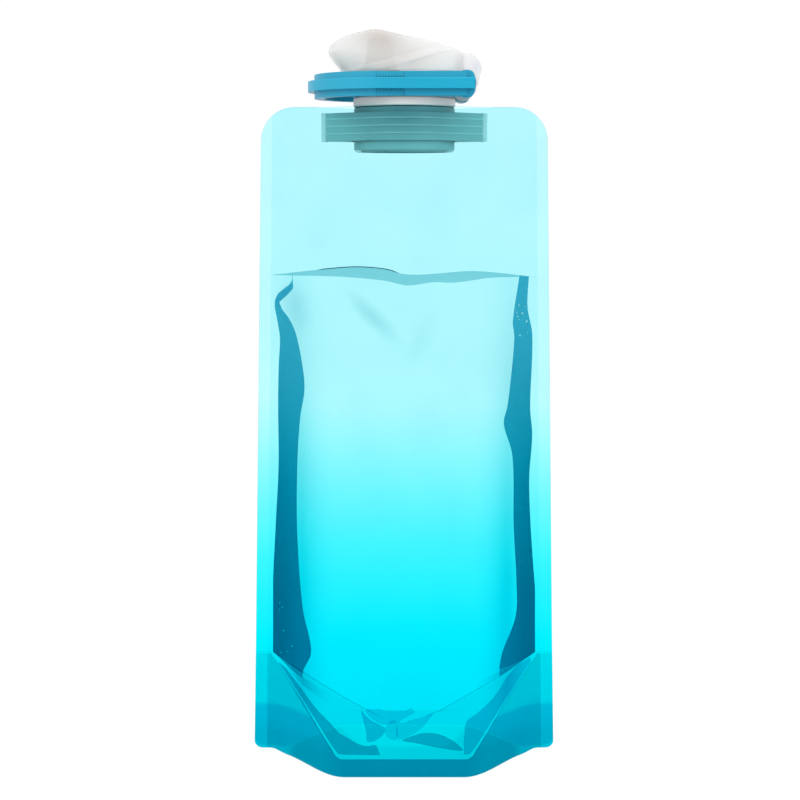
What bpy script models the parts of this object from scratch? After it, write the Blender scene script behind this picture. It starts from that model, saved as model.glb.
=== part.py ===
"""Folding water bottle: a stand-up film pouch with a welded spout and a flip-top screw cap.

The bottle stands on Z = 0 with its neck axis on Z. Its front faces -Y and the lid's hinge is at +X.
"""
import math

import bmesh
import bpy
from mathutils import Matrix, Vector

MM = 0.001

# Film pouch
POUCH_HEIGHT = 236.5 * MM
BASE_HALF_WIDTH = 56.2 * MM
TOP_HALF_WIDTH = 49.3 * MM
BASE_HALF_DEPTH = 21.0 * MM
BELLY_SWELL = 1.6 * MM
BELLY_HEIGHT_SHARE = 0.3
SHOULDER_HEIGHT_SHARE = 0.85
SHOULDER_DROP = 2.0 * MM
SHOULDER_LENGTH = 86.5 * MM
FILM = 0.4 * MM
WELD_GAP = 0.35 * MM
SIDE_SEAL = 6.0 * MM
TOP_CORNER_RADIUS = 11.3 * MM
BASE_CORNER_RADIUS = 3.0 * MM
BASE_CORNER_LIFT = 1.5 * MM
FOOT_FLAT_HALF = 21.5 * MM
FOOT_BLEND = 48.0 * MM
BASE_SEAL = 6.5 * MM
KEEL_WELD_HALF = 24.0 * MM
GUSSET_HEIGHT = 38.5 * MM
GUSSET_MIDDLE = 9.5 * MM
CREASE_BOW = 1.2
GUSSET_SAG = 1.25
GUSSET_TIP_EASE = 6.0 * MM

# Spout fitment
TUBE_RADIUS = 17.4 * MM
TUBE_WALL = 2.4 * MM
TUBE_DROP = 15.0 * MM
BOAT_DROP = 3.5 * MM
BOAT_HEIGHT = 9.5 * MM
RIB_PROUD = 1.0 * MM
RIB_COUNT = 4
RIB_HEIGHT = 1.3 * MM
WING_REACH = 11.6 * MM
WING_BLUNT = 3.0 * MM
FIN_BLUNT = 1.3 * MM
FIN_THICKNESS = 0.8 * MM
FIN_OVERHANG = 0.8 * MM
WEB_THICKNESS = 2.4 * MM
SHOULDER_BELOW_FILM = 0.2 * MM
NECK_WALL = 1.4 * MM
THREAD_ROOM = 1.0 * MM
LIP_BEVEL = 0.8 * MM

# Screw cap and mouthpiece
SEAT_GAP = 0.3 * MM
CAP_RADIUS = 15.4 * MM
CAP_WALL = 1.2 * MM
CAP_EDGE = 0.5 * MM
SKIRT_REACH = 2.2 * MM
SKIRT_HEIGHT = 3.2 * MM
SKIRT_SEAT = 0.6 * MM
DECK_THICKNESS = 1.6 * MM
DECK_PROUD = 0.2 * MM
GASKET_THICKNESS = 0.8 * MM
SPOUT_X = -8.5 * MM
SPOUT_BORE = 3.0 * MM
SPOUT_COLLAR_WALL = 1.5 * MM
SPOUT_COLLAR_HEIGHT = 2.4 * MM
SPOUT_FOOT_WALL = 2.2 * MM
SPOUT_FOOT_HEIGHT = 1.2 * MM
SPOUT_TIP_WALL = 1.8 * MM
SPOUT_TIP_BEVEL = 1.0 * MM
SPOUT_HEIGHT = 11.0 * MM

# Carry ring
RING_HEIGHT = 7.9 * MM
RING_WALL = 3.3 * MM
RING_SIDE_REACH = 2.9 * MM
HUB_WALL = 1.9 * MM
EYE_LENGTH = 10.1 * MM
EYE_ANGLE = math.radians(60.0)
RING_BEND_X = -8.0 * MM
FLANGE_HEIGHT = 3.5 * MM
FLANGE_REACH = 2.2 * MM
FLANGE_SETBACK = 1.3 * MM
GRIP_X = -4.7 * MM
GRIP_LENGTH = 9.4 * MM
GRIP_DEPTH = 0.5 * MM

# Lid hinge
PIN_RADIUS = 1.4 * MM
KNUCKLE_WALL = 2.4 * MM
KNUCKLE_HALF_LENGTH = 10.2 * MM
KNUCKLE_ROOM = 1.0 * MM
EAR_PROUD = 0.3 * MM
EAR_RECESS = 1.2 * MM

# Flip lid and plug
LID_WALL = 1.2 * MM
LID_OVERHANG = 1.2 * MM
LID_LIP = 6.2 * MM
LID_SLOPE = 0.237
LID_LEFT_FALL = 15.5
LID_HUMP = 0.9 * MM
LID_HUMP_SPREAD = 5.0 * MM
LID_HEADROOM = 1.0 * MM
LID_SIDE_POWER = 0.45
LID_END_POWER = 0.1
LID_RISE_POWER = 0.9
LID_ROUND_STEPS = 40
LID_RISE_STEPS = 8
TAIL_REACH = 5.6 * MM
TAIL_ROOT = 0.96 * MM
PLUG_FLANGE = 0.5 * MM
PLUG_THICKNESS = 0.6 * MM
PLUG_DEPTH = 1.7 * MM
PLUG_NOSE_RADIUS = 1.2 * MM

# Mesh steps
ROUND_STEPS = 48
SMALL_ROUND_STEPS = 32
TOP_CORNER_STEPS = 6
PANEL_HALF_COLUMNS = 11
TAIL_STEPS = 6
SLOPE_STEP = 0.5 * MM

# Pouch and fitment sizes that follow
FOOT_TOE = BASE_HALF_WIDTH - SIDE_SEAL
NECK_BLEND_START = POUCH_HEIGHT - SHOULDER_LENGTH
TUBE_BOTTOM = POUCH_HEIGHT - TUBE_DROP
BOAT_TOP = POUCH_HEIGHT - BOAT_DROP
BOAT_BOTTOM = BOAT_TOP - BOAT_HEIGHT
BOAT_RADIUS = TUBE_RADIUS + RIB_PROUD
BOAT_APEX = BOAT_RADIUS + WING_REACH
WING_HALF_LENGTH = BOAT_APEX - WING_BLUNT
FIN_HALF_LENGTH = BOAT_APEX - FIN_BLUNT
NECK_RADIUS = CAP_RADIUS - CAP_WALL - THREAD_ROOM
NECK_BORE = NECK_RADIUS - NECK_WALL

# Heights that follow, from the pouch's edge up
SHOULDER_Z = POUCH_HEIGHT - SHOULDER_BELOW_FILM
SKIRT_BOTTOM = SHOULDER_Z + SEAT_GAP
SKIRT_TOP = SKIRT_BOTTOM + SKIRT_HEIGHT
RING_BOTTOM = SKIRT_TOP + SEAT_GAP - SKIRT_SEAT
RING_TOP = RING_BOTTOM + RING_HEIGHT
DECK_TOP = RING_TOP + DECK_PROUD
DECK_BOTTOM = DECK_TOP - DECK_THICKNESS
GASKET_TOP = DECK_BOTTOM - SEAT_GAP
GASKET_BOTTOM = GASKET_TOP - GASKET_THICKNESS
NECK_TOP = GASKET_BOTTOM - SEAT_GAP
SPOUT_FOOT_Z = DECK_TOP + SEAT_GAP
SPOUT_TIP_Z = SPOUT_FOOT_Z + SPOUT_HEIGHT
PLUG_BOTTOM = SPOUT_TIP_Z + SEAT_GAP
PLUG_TOP = PLUG_BOTTOM + PLUG_THICKNESS
LID_BOTTOM = DECK_TOP + 2 * SEAT_GAP
LID_CROWN = PLUG_TOP + LID_WALL + LID_HEADROOM

# Cap, ring and lid sizes that follow
SKIRT_RADIUS = CAP_RADIUS + SKIRT_REACH
HUB_BORE = CAP_RADIUS + SEAT_GAP
HUB_RADIUS = HUB_BORE + HUB_WALL
RING_HALF_DEPTH = HUB_RADIUS + RING_SIDE_REACH
RING_LEFT = HUB_RADIUS + EYE_LENGTH + RING_WALL
KNUCKLE_RADIUS = PIN_RADIUS + SEAT_GAP + KNUCKLE_WALL
EAR_RADIUS = KNUCKLE_RADIUS + EAR_PROUD
EAR_FACE = RING_HALF_DEPTH - EAR_RECESS
SLOT_HALF = KNUCKLE_HALF_LENGTH + SEAT_GAP
HINGE_X = CAP_RADIUS + KNUCKLE_ROOM + KNUCKLE_RADIUS
HINGE_Z = RING_BOTTOM + RING_HEIGHT / 2
SPOUT_COLLAR_RADIUS = SPOUT_BORE + SPOUT_COLLAR_WALL
SPOUT_SOCKET_RADIUS = SPOUT_COLLAR_RADIUS + SEAT_GAP
SPOUT_FOOT_RADIUS = SPOUT_SOCKET_RADIUS + SPOUT_FOOT_WALL
SPOUT_TIP_RADIUS = SPOUT_BORE + SPOUT_TIP_WALL
PLUG_NECK_RADIUS = SPOUT_BORE - SEAT_GAP
PLUG_RADIUS = PLUG_NECK_RADIUS + PLUG_FLANGE
LID_HALF_DEPTH = SKIRT_RADIUS + LID_OVERHANG
LID_RIGHT = HINGE_X - SEAT_GAP
LID_LEFT = -(SKIRT_RADIUS + LID_OVERHANG + LID_OVERHANG)
LID_CENTRE_X = (LID_LEFT + LID_RIGHT) / 2
LID_HALF_LENGTH = (LID_RIGHT - LID_LEFT) / 2


def clear_scene():
    """Remove everything that a new file holds."""
    for item in list(bpy.data.objects):
        bpy.data.objects.remove(item, do_unlink=True)


def make_collection(name):
    """Add a collection to the scene."""
    collection = bpy.data.collections.new(name)
    bpy.context.scene.collection.children.link(collection)
    return collection


def make_material(name, colour, roughness, alpha=1.0):
    """A plastic with a linear colour, roughness and opacity."""
    material = bpy.data.materials.new(name)
    material.use_nodes = True
    shader = material.node_tree.nodes["Principled BSDF"]
    shader.inputs["Base Color"].default_value = (*colour, 1.0)
    shader.inputs["Roughness"].default_value = roughness
    shader.inputs["Metallic"].default_value = 0.0
    shader.inputs["Alpha"].default_value = alpha
    return material


def smoothstep(low, high, value):
    """Ease from 0 at low to 1 at high."""
    share = min(1.0, max(0.0, (value - low) / (high - low)))
    return share * share * (3 - 2 * share)


def mix(first, second, share):
    return first + (second - first) * share


def spread(start, end, steps):
    """Evenly spaced values from start up to, but not including, end."""
    return [mix(start, end, step / steps) for step in range(steps)]


# Film surfaces

def outer_half_width(z):
    """Half the pouch's width at a height, with its rounded top corners."""
    width = mix(BASE_HALF_WIDTH, TOP_HALF_WIDTH, z / POUCH_HEIGHT)
    into_corner = z - (POUCH_HEIGHT - TOP_CORNER_RADIUS)
    if into_corner <= 0:
        return width
    round_in = math.sqrt(max(0.0, TOP_CORNER_RADIUS ** 2 - into_corner ** 2))
    return width - TOP_CORNER_RADIUS + round_in


def inner_half_width(z):
    """Half the width between the side seals."""
    return mix(BASE_HALF_WIDTH, TOP_HALF_WIDTH, z / POUCH_HEIGHT) - SIDE_SEAL


def boat_half_thickness(x, clearance):
    """The fitment's plan: a circle with tangents that run to a point at each side."""
    radius = BOAT_RADIUS + clearance
    apex = BOAT_APEX * radius / BOAT_RADIUS
    touch = radius * radius / apex
    distance = abs(x)
    if distance <= touch:
        return math.sqrt(radius ** 2 - distance ** 2)
    tangent_height = math.sqrt(radius ** 2 - touch ** 2)
    return max(0.0, tangent_height * (apex - distance) / (apex - touch))


def lens_half_depth(x, z):
    """The filled pouch's section: an arc between the side seals."""
    half_chord = inner_half_width(z)
    if abs(x) >= half_chord:
        return 0.0
    belly = BELLY_HEIGHT_SHARE * POUCH_HEIGHT
    shoulder = SHOULDER_HEIGHT_SHARE * POUCH_HEIGHT
    depth = BASE_HALF_DEPTH + BELLY_SWELL * smoothstep(0, belly, z)
    depth -= SHOULDER_DROP * smoothstep(belly, shoulder, z)
    radius = (half_chord ** 2 + depth ** 2) / (2 * depth)
    return math.sqrt(radius ** 2 - x ** 2) - (radius - depth)


def foot_half_depth(x):
    """The opened foot's plan: flat in the middle, easing in to the corners."""
    return BASE_HALF_DEPTH * (1 - smoothstep(FOOT_FLAT_HALF, FOOT_TOE, abs(x)))


def film_depth(x, z):
    """Distance from the middle plane to the middle of the front or back film."""
    foot_share = 1 - smoothstep(BASE_SEAL, FOOT_BLEND, z)
    neck_share = smoothstep(NECK_BLEND_START, TUBE_BOTTOM - SEAT_GAP, z)
    body = mix(lens_half_depth(x, z), foot_half_depth(x), foot_share)
    neck = boat_half_thickness(x, SEAT_GAP + FILM / 2)
    gusset_share = 1 - smoothstep(GUSSET_HEIGHT, GUSSET_HEIGHT + GUSSET_TIP_EASE, z)
    weld = (WELD_GAP + FILM) * (0.5 + gusset_share)
    return weld + mix(body, neck, neck_share)


def leg_depth(x, z):
    """Distance from the middle plane to a gusset leg, one film and gap inside the panel."""
    step = SLOPE_STEP
    slope_x = (film_depth(x + step, z) - film_depth(x - step, z)) / (2 * step)
    slope_z = (film_depth(x, z + step) - film_depth(x, max(0.0, z - step))) / (2 * step)
    inset = (FILM + WELD_GAP) * math.sqrt(1 + slope_x ** 2 + slope_z ** 2)
    return max(film_depth(x, z) - inset, (WELD_GAP + FILM) / 2)


def base_edge_lift(x):
    """Height of the bottom edge: on the table, with lifted and rounded corners."""
    distance = abs(x)
    lift = BASE_CORNER_LIFT * smoothstep(FOOT_TOE - SIDE_SEAL, FOOT_TOE, distance)
    into_corner = distance - (BASE_HALF_WIDTH - BASE_CORNER_RADIUS)
    if into_corner > 0:
        share = min(1.0, into_corner / BASE_CORNER_RADIUS)
        lift += BASE_CORNER_RADIUS * (1 - math.sqrt(1 - share ** 2))
    return lift


def panel_rows():
    """Heights of the film's rows, closer together in the foot and at the top corners."""
    rows = spread(0, BASE_SEAL, 2)
    rows += spread(BASE_SEAL, FOOT_BLEND, 8)
    rows += spread(FOOT_BLEND, NECK_BLEND_START, 5)
    rows += spread(NECK_BLEND_START, TUBE_BOTTOM - SEAT_GAP, 6)
    corner_start = POUCH_HEIGHT - TOP_CORNER_RADIUS
    rows += [TUBE_BOTTOM - SEAT_GAP]
    for step in range(TOP_CORNER_STEPS + 1):
        rows.append(corner_start + TOP_CORNER_RADIUS * math.sin(math.pi / 2 * step / TOP_CORNER_STEPS))
    return rows


def panel_columns():
    """Shares of the inner half width, with the outer edge of each side seal as 2."""
    steps = PANEL_HALF_COLUMNS
    inner = [step / steps for step in range(-steps, steps + 1)]
    return [-2.0] + inner + [2.0]


def column_x(column, z):
    """The place of a column at a height."""
    if abs(column) > 1:
        return math.copysign(outer_half_width(z), column)
    return column * min(inner_half_width(z), outer_half_width(z) - FILM)


def mapped_grid(columns, rows, place):
    """A grid primitive whose points are placed by a function of column and row."""
    sheet = bmesh.new()
    bmesh.ops.create_grid(sheet, x_segments=len(columns) - 1, y_segments=len(rows) - 1, size=1.0)
    for point in sheet.verts:
        column = columns[round((point.co.x + 1) / 2 * (len(columns) - 1))]
        row = rows[round((point.co.y + 1) / 2 * (len(rows) - 1))]
        point.co = place(column, row)
    return sheet


def add_mesh_object(name, sheet, collection):
    """Turn a bmesh into a named object."""
    mesh = bpy.data.meshes.new(name)
    sheet.to_mesh(mesh)
    sheet.free()
    item = bpy.data.objects.new(name, mesh)
    collection.objects.link(item)
    return item


def thicken(item, thickness, offset):
    """Give an open surface a wall."""
    shell = item.modifiers.new("wall", "SOLIDIFY")
    shell.thickness = thickness
    shell.offset = offset
    return shell


def make_panel(name, side, collection):
    """One film panel; side is -1 for the front and 1 for the back."""
    def place(column, row):
        x = column_x(column, row)
        edge = base_edge_lift(x)
        z = row + edge * max(0.0, 1 - row / FOOT_BLEND)
        return Vector((x, side * film_depth(x, z), z))

    panel = add_mesh_object(name, mapped_grid(panel_columns(), panel_rows(), place), collection)
    thicken(panel, FILM, 0.0)
    return panel


def weld_height(x):
    """Top of the weld between gusset and panel: the base seal and two slanted corner seals."""
    top = inner_half_width(GUSSET_HEIGHT)
    share = (abs(x) - KEEL_WELD_HALF) / (top - KEEL_WELD_HALF)
    return mix(BASE_SEAL, GUSSET_HEIGHT, min(1.0, max(0.0, share)))


def crease_height(x):
    """Height of the gusset's middle fold, from its low centre up to the side seals."""
    share = min(1.0, abs(x) / inner_half_width(GUSSET_HEIGHT)) ** CREASE_BOW
    return mix(GUSSET_MIDDLE, GUSSET_HEIGHT + FILM + WELD_GAP, share)


def make_gusset(collection):
    """The folded bottom film: up inside the front panel, over the middle fold, down at the back."""
    leg = 3
    floor = 4
    rows = [step / leg - 2 for step in range(leg)]
    rows += [step / floor - 1 for step in range(2 * floor + 1)]
    rows += [1 + (step + 1) / leg for step in range(leg)]

    def place(column, row):
        x = column_x(column, GUSSET_HEIGHT)
        side = math.copysign(1.0, row)
        top = weld_height(x)
        if abs(row) >= 1:
            z = mix(top, base_edge_lift(x), abs(row) - 1)
            x = column_x(column, z)
            return Vector((x, side * leg_depth(x, z), z))
        y = row * leg_depth(x, top)
        rise = (crease_height(x) - top) * (1 - abs(row)) ** GUSSET_SAG
        return Vector((x, y, top + rise))

    gusset = add_mesh_object("gusset_film", mapped_grid(panel_columns(), rows, place), collection)
    thicken(gusset, FILM, 0.0)
    return gusset


# Solid shapes

def turned(name, profile, collection, centre=(0.0, 0.0), steps=ROUND_STEPS):
    """Revolve a closed profile of (radius, height) points about a vertical axis."""
    sheet = bmesh.new()
    corners = [sheet.verts.new((radius, 0.0, z)) for radius, z in profile]
    for first, second in zip(corners, corners[1:] + corners[:1]):
        sheet.edges.new((first, second))
    item = add_mesh_object(name, sheet, collection)
    item.location = (centre[0], centre[1], 0.0)
    screw = item.modifiers.new("turn", "SCREW")
    screw.steps = steps
    screw.render_steps = steps
    screw.use_merge_vertices = True
    screw.merge_threshold = 0.00001
    return item


def plate(name, outlines, bottom, top, collection):
    """A flat plate from closed outlines; the second and later outlines are holes."""
    curve = bpy.data.curves.new(name + "_outline", "CURVE")
    curve.dimensions = "2D"
    curve.fill_mode = "BOTH"
    curve.extrude = (top - bottom) / 2
    for outline in outlines:
        spline = curve.splines.new("POLY")
        spline.points.add(len(outline) - 1)
        spline.use_cyclic_u = True
        for point, (x, y) in zip(spline.points, outline):
            point.co = (x, y, 0.0, 1.0)
    drawn = bpy.data.objects.new(name + "_outline", curve)
    collection.objects.link(drawn)
    drawn.location.z = (bottom + top) / 2
    bpy.context.view_layer.update()
    graph = bpy.context.evaluated_depsgraph_get()
    mesh = bpy.data.meshes.new_from_object(drawn.evaluated_get(graph))
    welded = bmesh.new()
    welded.from_mesh(mesh)
    bmesh.ops.remove_doubles(welded, verts=welded.verts, dist=0.000001)
    bmesh.ops.recalc_face_normals(welded, faces=welded.faces)
    welded.to_mesh(mesh)
    welded.free()
    item = bpy.data.objects.new(name, mesh)
    item.matrix_world = drawn.matrix_world
    collection.objects.link(item)
    bpy.data.objects.remove(drawn, do_unlink=True)
    return item


def block(name, low, high, collection):
    """A box between two corners."""
    sheet = bmesh.new()
    bmesh.ops.create_cube(sheet, size=1.0)
    size = [b - a for a, b in zip(low, high)]
    middle = [(a + b) / 2 for a, b in zip(low, high)]
    bmesh.ops.scale(sheet, vec=size, verts=sheet.verts)
    bmesh.ops.translate(sheet, vec=middle, verts=sheet.verts)
    return add_mesh_object(name, sheet, collection)


def rod_along_y(name, radius, half_length, collection, middle_y=0.0):
    """A cylinder on the hinge axis."""
    sheet = bmesh.new()
    bmesh.ops.create_cone(sheet, cap_ends=True, segments=ROUND_STEPS // 2, radius1=radius, radius2=radius,
                          depth=2 * half_length)
    bmesh.ops.rotate(sheet, matrix=Matrix.Rotation(math.pi / 2, 3, "X"), verts=sheet.verts)
    item = add_mesh_object(name, sheet, collection)
    item.location = (HINGE_X, middle_y, HINGE_Z)
    return item


def combine(target, tool, operation):
    """Join a helper to a piece or cut it away, and keep the helper out of the model."""
    tool.hide_render = True
    tool.display_type = "WIRE"
    joined = target.modifiers.new(tool.name, "BOOLEAN")
    joined.operation = operation
    joined.object = tool
    joined.solver = "EXACT"


def circle(radius, centre_x=0.0, steps=ROUND_STEPS):
    turns = [2 * math.pi * step / steps for step in range(steps)]
    return [(centre_x + radius * math.cos(turn), radius * math.sin(turn)) for turn in turns]


# Spout fitment

def boat_outline(half_length):
    """Plan of one weld rib: the boat shape, cut square at its two ends."""
    touch = BOAT_RADIUS ** 2 / BOAT_APEX
    reach = math.acos(touch / BOAT_RADIUS)
    end = boat_half_thickness(half_length, 0.0)
    steps = ROUND_STEPS // 4
    arc = [mix(reach, math.pi - reach, step / steps) for step in range(steps + 1)]
    back = [(BOAT_RADIUS * math.cos(turn), BOAT_RADIUS * math.sin(turn)) for turn in arc]
    upper = [(half_length, end)] + back + [(-half_length, end)]
    return upper + [(x, -y) for x, y in reversed(upper)]


def make_fitment(parts, tools):
    """Neck, tube and ribbed boat that the film is welded to."""
    tube_bore = TUBE_RADIUS - TUBE_WALL
    profile = [
        (NECK_RADIUS - LIP_BEVEL, NECK_TOP), (NECK_RADIUS, NECK_TOP - LIP_BEVEL), (NECK_RADIUS, SHOULDER_Z),
        (TUBE_RADIUS, SHOULDER_Z), (TUBE_RADIUS, TUBE_BOTTOM + LIP_BEVEL),
        (TUBE_RADIUS - LIP_BEVEL, TUBE_BOTTOM),
        (tube_bore, TUBE_BOTTOM), (tube_bore, BOAT_TOP), (NECK_BORE, BOAT_TOP + TUBE_WALL),
        (NECK_BORE, NECK_TOP),
    ]
    fitment = turned("spout_fitment", profile, parts)
    bore = circle(TUBE_RADIUS - TUBE_WALL / 2)
    pitch = (BOAT_TOP - BOAT_BOTTOM - RIB_HEIGHT) / (RIB_COUNT - 1)
    for rib in range(RIB_COUNT):
        bottom = BOAT_BOTTOM + rib * pitch
        outlines = [boat_outline(WING_HALF_LENGTH), bore]
        wing = plate(f"weld_rib_{rib}", outlines, bottom, bottom + RIB_HEIGHT, tools)
        combine(fitment, wing, "UNION")
    inside = TUBE_RADIUS - TUBE_WALL / 2
    for side in (-1, 1):
        ends = sorted((side * inside, side * (WING_HALF_LENGTH - RIB_HEIGHT)))
        half = WEB_THICKNESS / 2
        web = block(f"web_{side}", (ends[0], -half, BOAT_BOTTOM + RIB_HEIGHT / 2),
                    (ends[1], half, BOAT_TOP - RIB_HEIGHT / 2), tools)
        combine(fitment, web, "UNION")
        ends = sorted((side * (WING_HALF_LENGTH - 2 * RIB_HEIGHT), side * FIN_HALF_LENGTH))
        half = FIN_THICKNESS / 2
        fin = block(f"fin_{side}", (ends[0], -half, BOAT_BOTTOM - FIN_OVERHANG),
                    (ends[1], half, BOAT_TOP + FIN_OVERHANG), tools)
        combine(fitment, fin, "UNION")
    return fitment


# Screw cap

def make_gasket(parts):
    """Flat sealing ring between the neck and the cap's deck."""
    outer = NECK_RADIUS + SEAT_GAP
    profile = [
        (outer, GASKET_TOP), (outer, GASKET_BOTTOM), (NECK_BORE, GASKET_BOTTOM), (NECK_BORE, GASKET_TOP),
    ]
    return turned("neck_gasket", profile, parts)


def make_cap(parts, tools):
    """Threaded cap: a skirt with a grip band, a deck and a collar for the mouthpiece."""
    bore = CAP_RADIUS - CAP_WALL
    profile = [
        (0.0, DECK_TOP), (CAP_RADIUS - CAP_EDGE, DECK_TOP), (CAP_RADIUS, DECK_TOP - CAP_EDGE),
        (CAP_RADIUS, SKIRT_TOP), (SKIRT_RADIUS - CAP_EDGE, SKIRT_TOP), (SKIRT_RADIUS, SKIRT_TOP - CAP_EDGE),
        (SKIRT_RADIUS, SKIRT_BOTTOM + CAP_EDGE), (SKIRT_RADIUS - CAP_EDGE, SKIRT_BOTTOM),
        (bore, SKIRT_BOTTOM), (bore, DECK_BOTTOM), (0.0, DECK_BOTTOM),
    ]
    cap = turned("screw_cap", profile, parts)
    root = DECK_TOP - DECK_THICKNESS / 2
    collar_top = DECK_TOP + SPOUT_COLLAR_HEIGHT
    collar_profile = [
        (SPOUT_COLLAR_RADIUS, collar_top), (SPOUT_COLLAR_RADIUS, root), (0.0, root), (0.0, collar_top),
    ]
    collar = turned("spout_collar", collar_profile, tools, (SPOUT_X, 0.0), SMALL_ROUND_STEPS)
    combine(cap, collar, "UNION")
    above = collar_top + DECK_THICKNESS
    below = DECK_BOTTOM - DECK_THICKNESS
    hole_profile = [(SPOUT_BORE, above), (SPOUT_BORE, below), (0.0, below), (0.0, above)]
    hole = turned("spout_hole", hole_profile, tools, (SPOUT_X, 0.0), SMALL_ROUND_STEPS)
    combine(cap, hole, "DIFFERENCE")
    return cap


def make_mouthpiece(parts):
    """Soft drinking spout that snaps over the deck's collar."""
    socket_top = DECK_TOP + SPOUT_COLLAR_HEIGHT + SEAT_GAP
    foot = SPOUT_FOOT_HEIGHT
    tip = SPOUT_TIP_BEVEL
    profile = [
        (SPOUT_TIP_RADIUS - tip, SPOUT_TIP_Z), (SPOUT_TIP_RADIUS, SPOUT_TIP_Z - tip),
        (SPOUT_TIP_RADIUS, SPOUT_TIP_Z - 2 * tip), (SPOUT_TIP_RADIUS - tip / 2, SPOUT_TIP_Z - 3 * tip),
        (SPOUT_FOOT_RADIUS - foot, SPOUT_FOOT_Z + 2 * foot), (SPOUT_FOOT_RADIUS, SPOUT_FOOT_Z + foot),
        (SPOUT_FOOT_RADIUS, SPOUT_FOOT_Z), (SPOUT_SOCKET_RADIUS, SPOUT_FOOT_Z),
        (SPOUT_SOCKET_RADIUS, socket_top), (SPOUT_BORE, socket_top), (SPOUT_BORE, SPOUT_TIP_Z),
    ]
    return turned("mouthpiece", profile, parts, (SPOUT_X, 0.0), SMALL_ROUND_STEPS)


# Carry ring

def ring_outline(grow, right):
    """Plan of the ring: straight sides and a round left end, grown outwards by grow."""
    half_depth = RING_HALF_DEPTH + grow
    reach = RING_LEFT + RING_BEND_X + grow
    steps = ROUND_STEPS // 2
    turns = [mix(math.pi / 2, 3 * math.pi / 2, step / steps) for step in range(steps + 1)]
    bend = [(RING_BEND_X + reach * math.cos(turn), half_depth * math.sin(turn)) for turn in turns]
    return [(right, half_depth)] + bend + [(right, -half_depth)]


def eye_outline():
    """The carry eye: a crescent between the hub and the ring's left wall."""
    steps = ROUND_STEPS // 4
    turns = [mix(math.pi - EYE_ANGLE, math.pi + EYE_ANGLE, step / steps) for step in range(steps + 1)]
    hub = [(HUB_RADIUS * math.cos(turn), HUB_RADIUS * math.sin(turn)) for turn in turns]
    depth = RING_HALF_DEPTH - RING_WALL
    reach = RING_LEFT + RING_BEND_X - RING_WALL
    low = math.asin(min(1.0, HUB_RADIUS * math.sin(EYE_ANGLE) / depth))
    wide = [mix(math.pi + low, math.pi - low, step / steps) for step in range(steps + 1)]
    wall = [(RING_BEND_X + reach * math.cos(turn), depth * math.sin(turn)) for turn in wide]
    return hub + wall


def make_ring(parts, tools):
    """Carry ring round the cap, with its flange, carry eye, grips and the two hinge ears."""
    ring = plate("carry_ring", [ring_outline(0.0, HINGE_X), circle(HUB_BORE), eye_outline()],
                 RING_BOTTOM, RING_TOP, parts)
    flange_bottom = HINGE_Z - FLANGE_HEIGHT / 2
    flange_right = HINGE_X + EAR_RADIUS - FLANGE_SETBACK
    flange_inside = ring_outline(-RING_WALL / 2, HINGE_X - RING_WALL)
    flange_plan = [ring_outline(FLANGE_REACH, flange_right), flange_inside]
    flange = plate("ring_flange", flange_plan, flange_bottom, flange_bottom + FLANGE_HEIGHT, tools)
    combine(ring, flange, "UNION")
    ear_half = (EAR_FACE - SLOT_HALF) / 2
    for side in (-1, 1):
        ear = rod_along_y(f"ear_{side}", EAR_RADIUS, ear_half, tools, side * (SLOT_HALF + ear_half))
        combine(ring, ear, "UNION")
    tall = 2 * RING_HEIGHT
    slot = block("hinge_slot", (CAP_RADIUS, -SLOT_HALF, HINGE_Z - tall),
                 (HINGE_X + tall, SLOT_HALF, HINGE_Z + tall), tools)
    combine(ring, slot, "DIFFERENCE")
    pin_hole = rod_along_y("pin_hole", PIN_RADIUS + SEAT_GAP, EAR_FACE, tools)
    combine(ring, pin_hole, "DIFFERENCE")
    rim = (RING_HEIGHT - FLANGE_HEIGHT) / 2
    for side in (-1, 1):
        for name, bottom in (("low", RING_BOTTOM - rim), ("high", flange_bottom + FLANGE_HEIGHT)):
            ends = sorted((side * (RING_HALF_DEPTH - GRIP_DEPTH), side * (RING_HALF_DEPTH + FLANGE_REACH)))
            grip = block(f"grip_{name}_{side}", (GRIP_X - GRIP_LENGTH / 2, ends[0], bottom),
                         (GRIP_X + GRIP_LENGTH / 2, ends[1], bottom + 2 * rim), tools)
            combine(ring, grip, "DIFFERENCE")
    seat_radius = SKIRT_RADIUS + SEAT_GAP
    seat_top = RING_BOTTOM + SKIRT_SEAT
    seat_low = RING_BOTTOM - SKIRT_SEAT
    seat_profile = [(seat_radius, seat_top), (seat_radius, seat_low), (0.0, seat_low), (0.0, seat_top)]
    combine(ring, turned("skirt_seat", seat_profile, tools), "DIFFERENCE")
    return ring


def make_pin(parts):
    """Hinge pin through the ears and the lid's knuckle."""
    return rod_along_y("hinge_pin", PIN_RADIUS, EAR_FACE - SEAT_GAP, parts)


# Flip lid

def crown_height(x):
    """Top of the lid along its length: a slope down to the hinge with a hump over the spout."""
    hump_x = SPOUT_X
    past = max(0.0, x - hump_x)
    before = max(0.0, hump_x - x)
    hump = LID_HUMP * math.exp(-((x - hump_x) / LID_HUMP_SPREAD) ** 2)
    return LID_CROWN - LID_SLOPE * past - LID_LEFT_FALL * before ** 2 + hump


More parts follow.
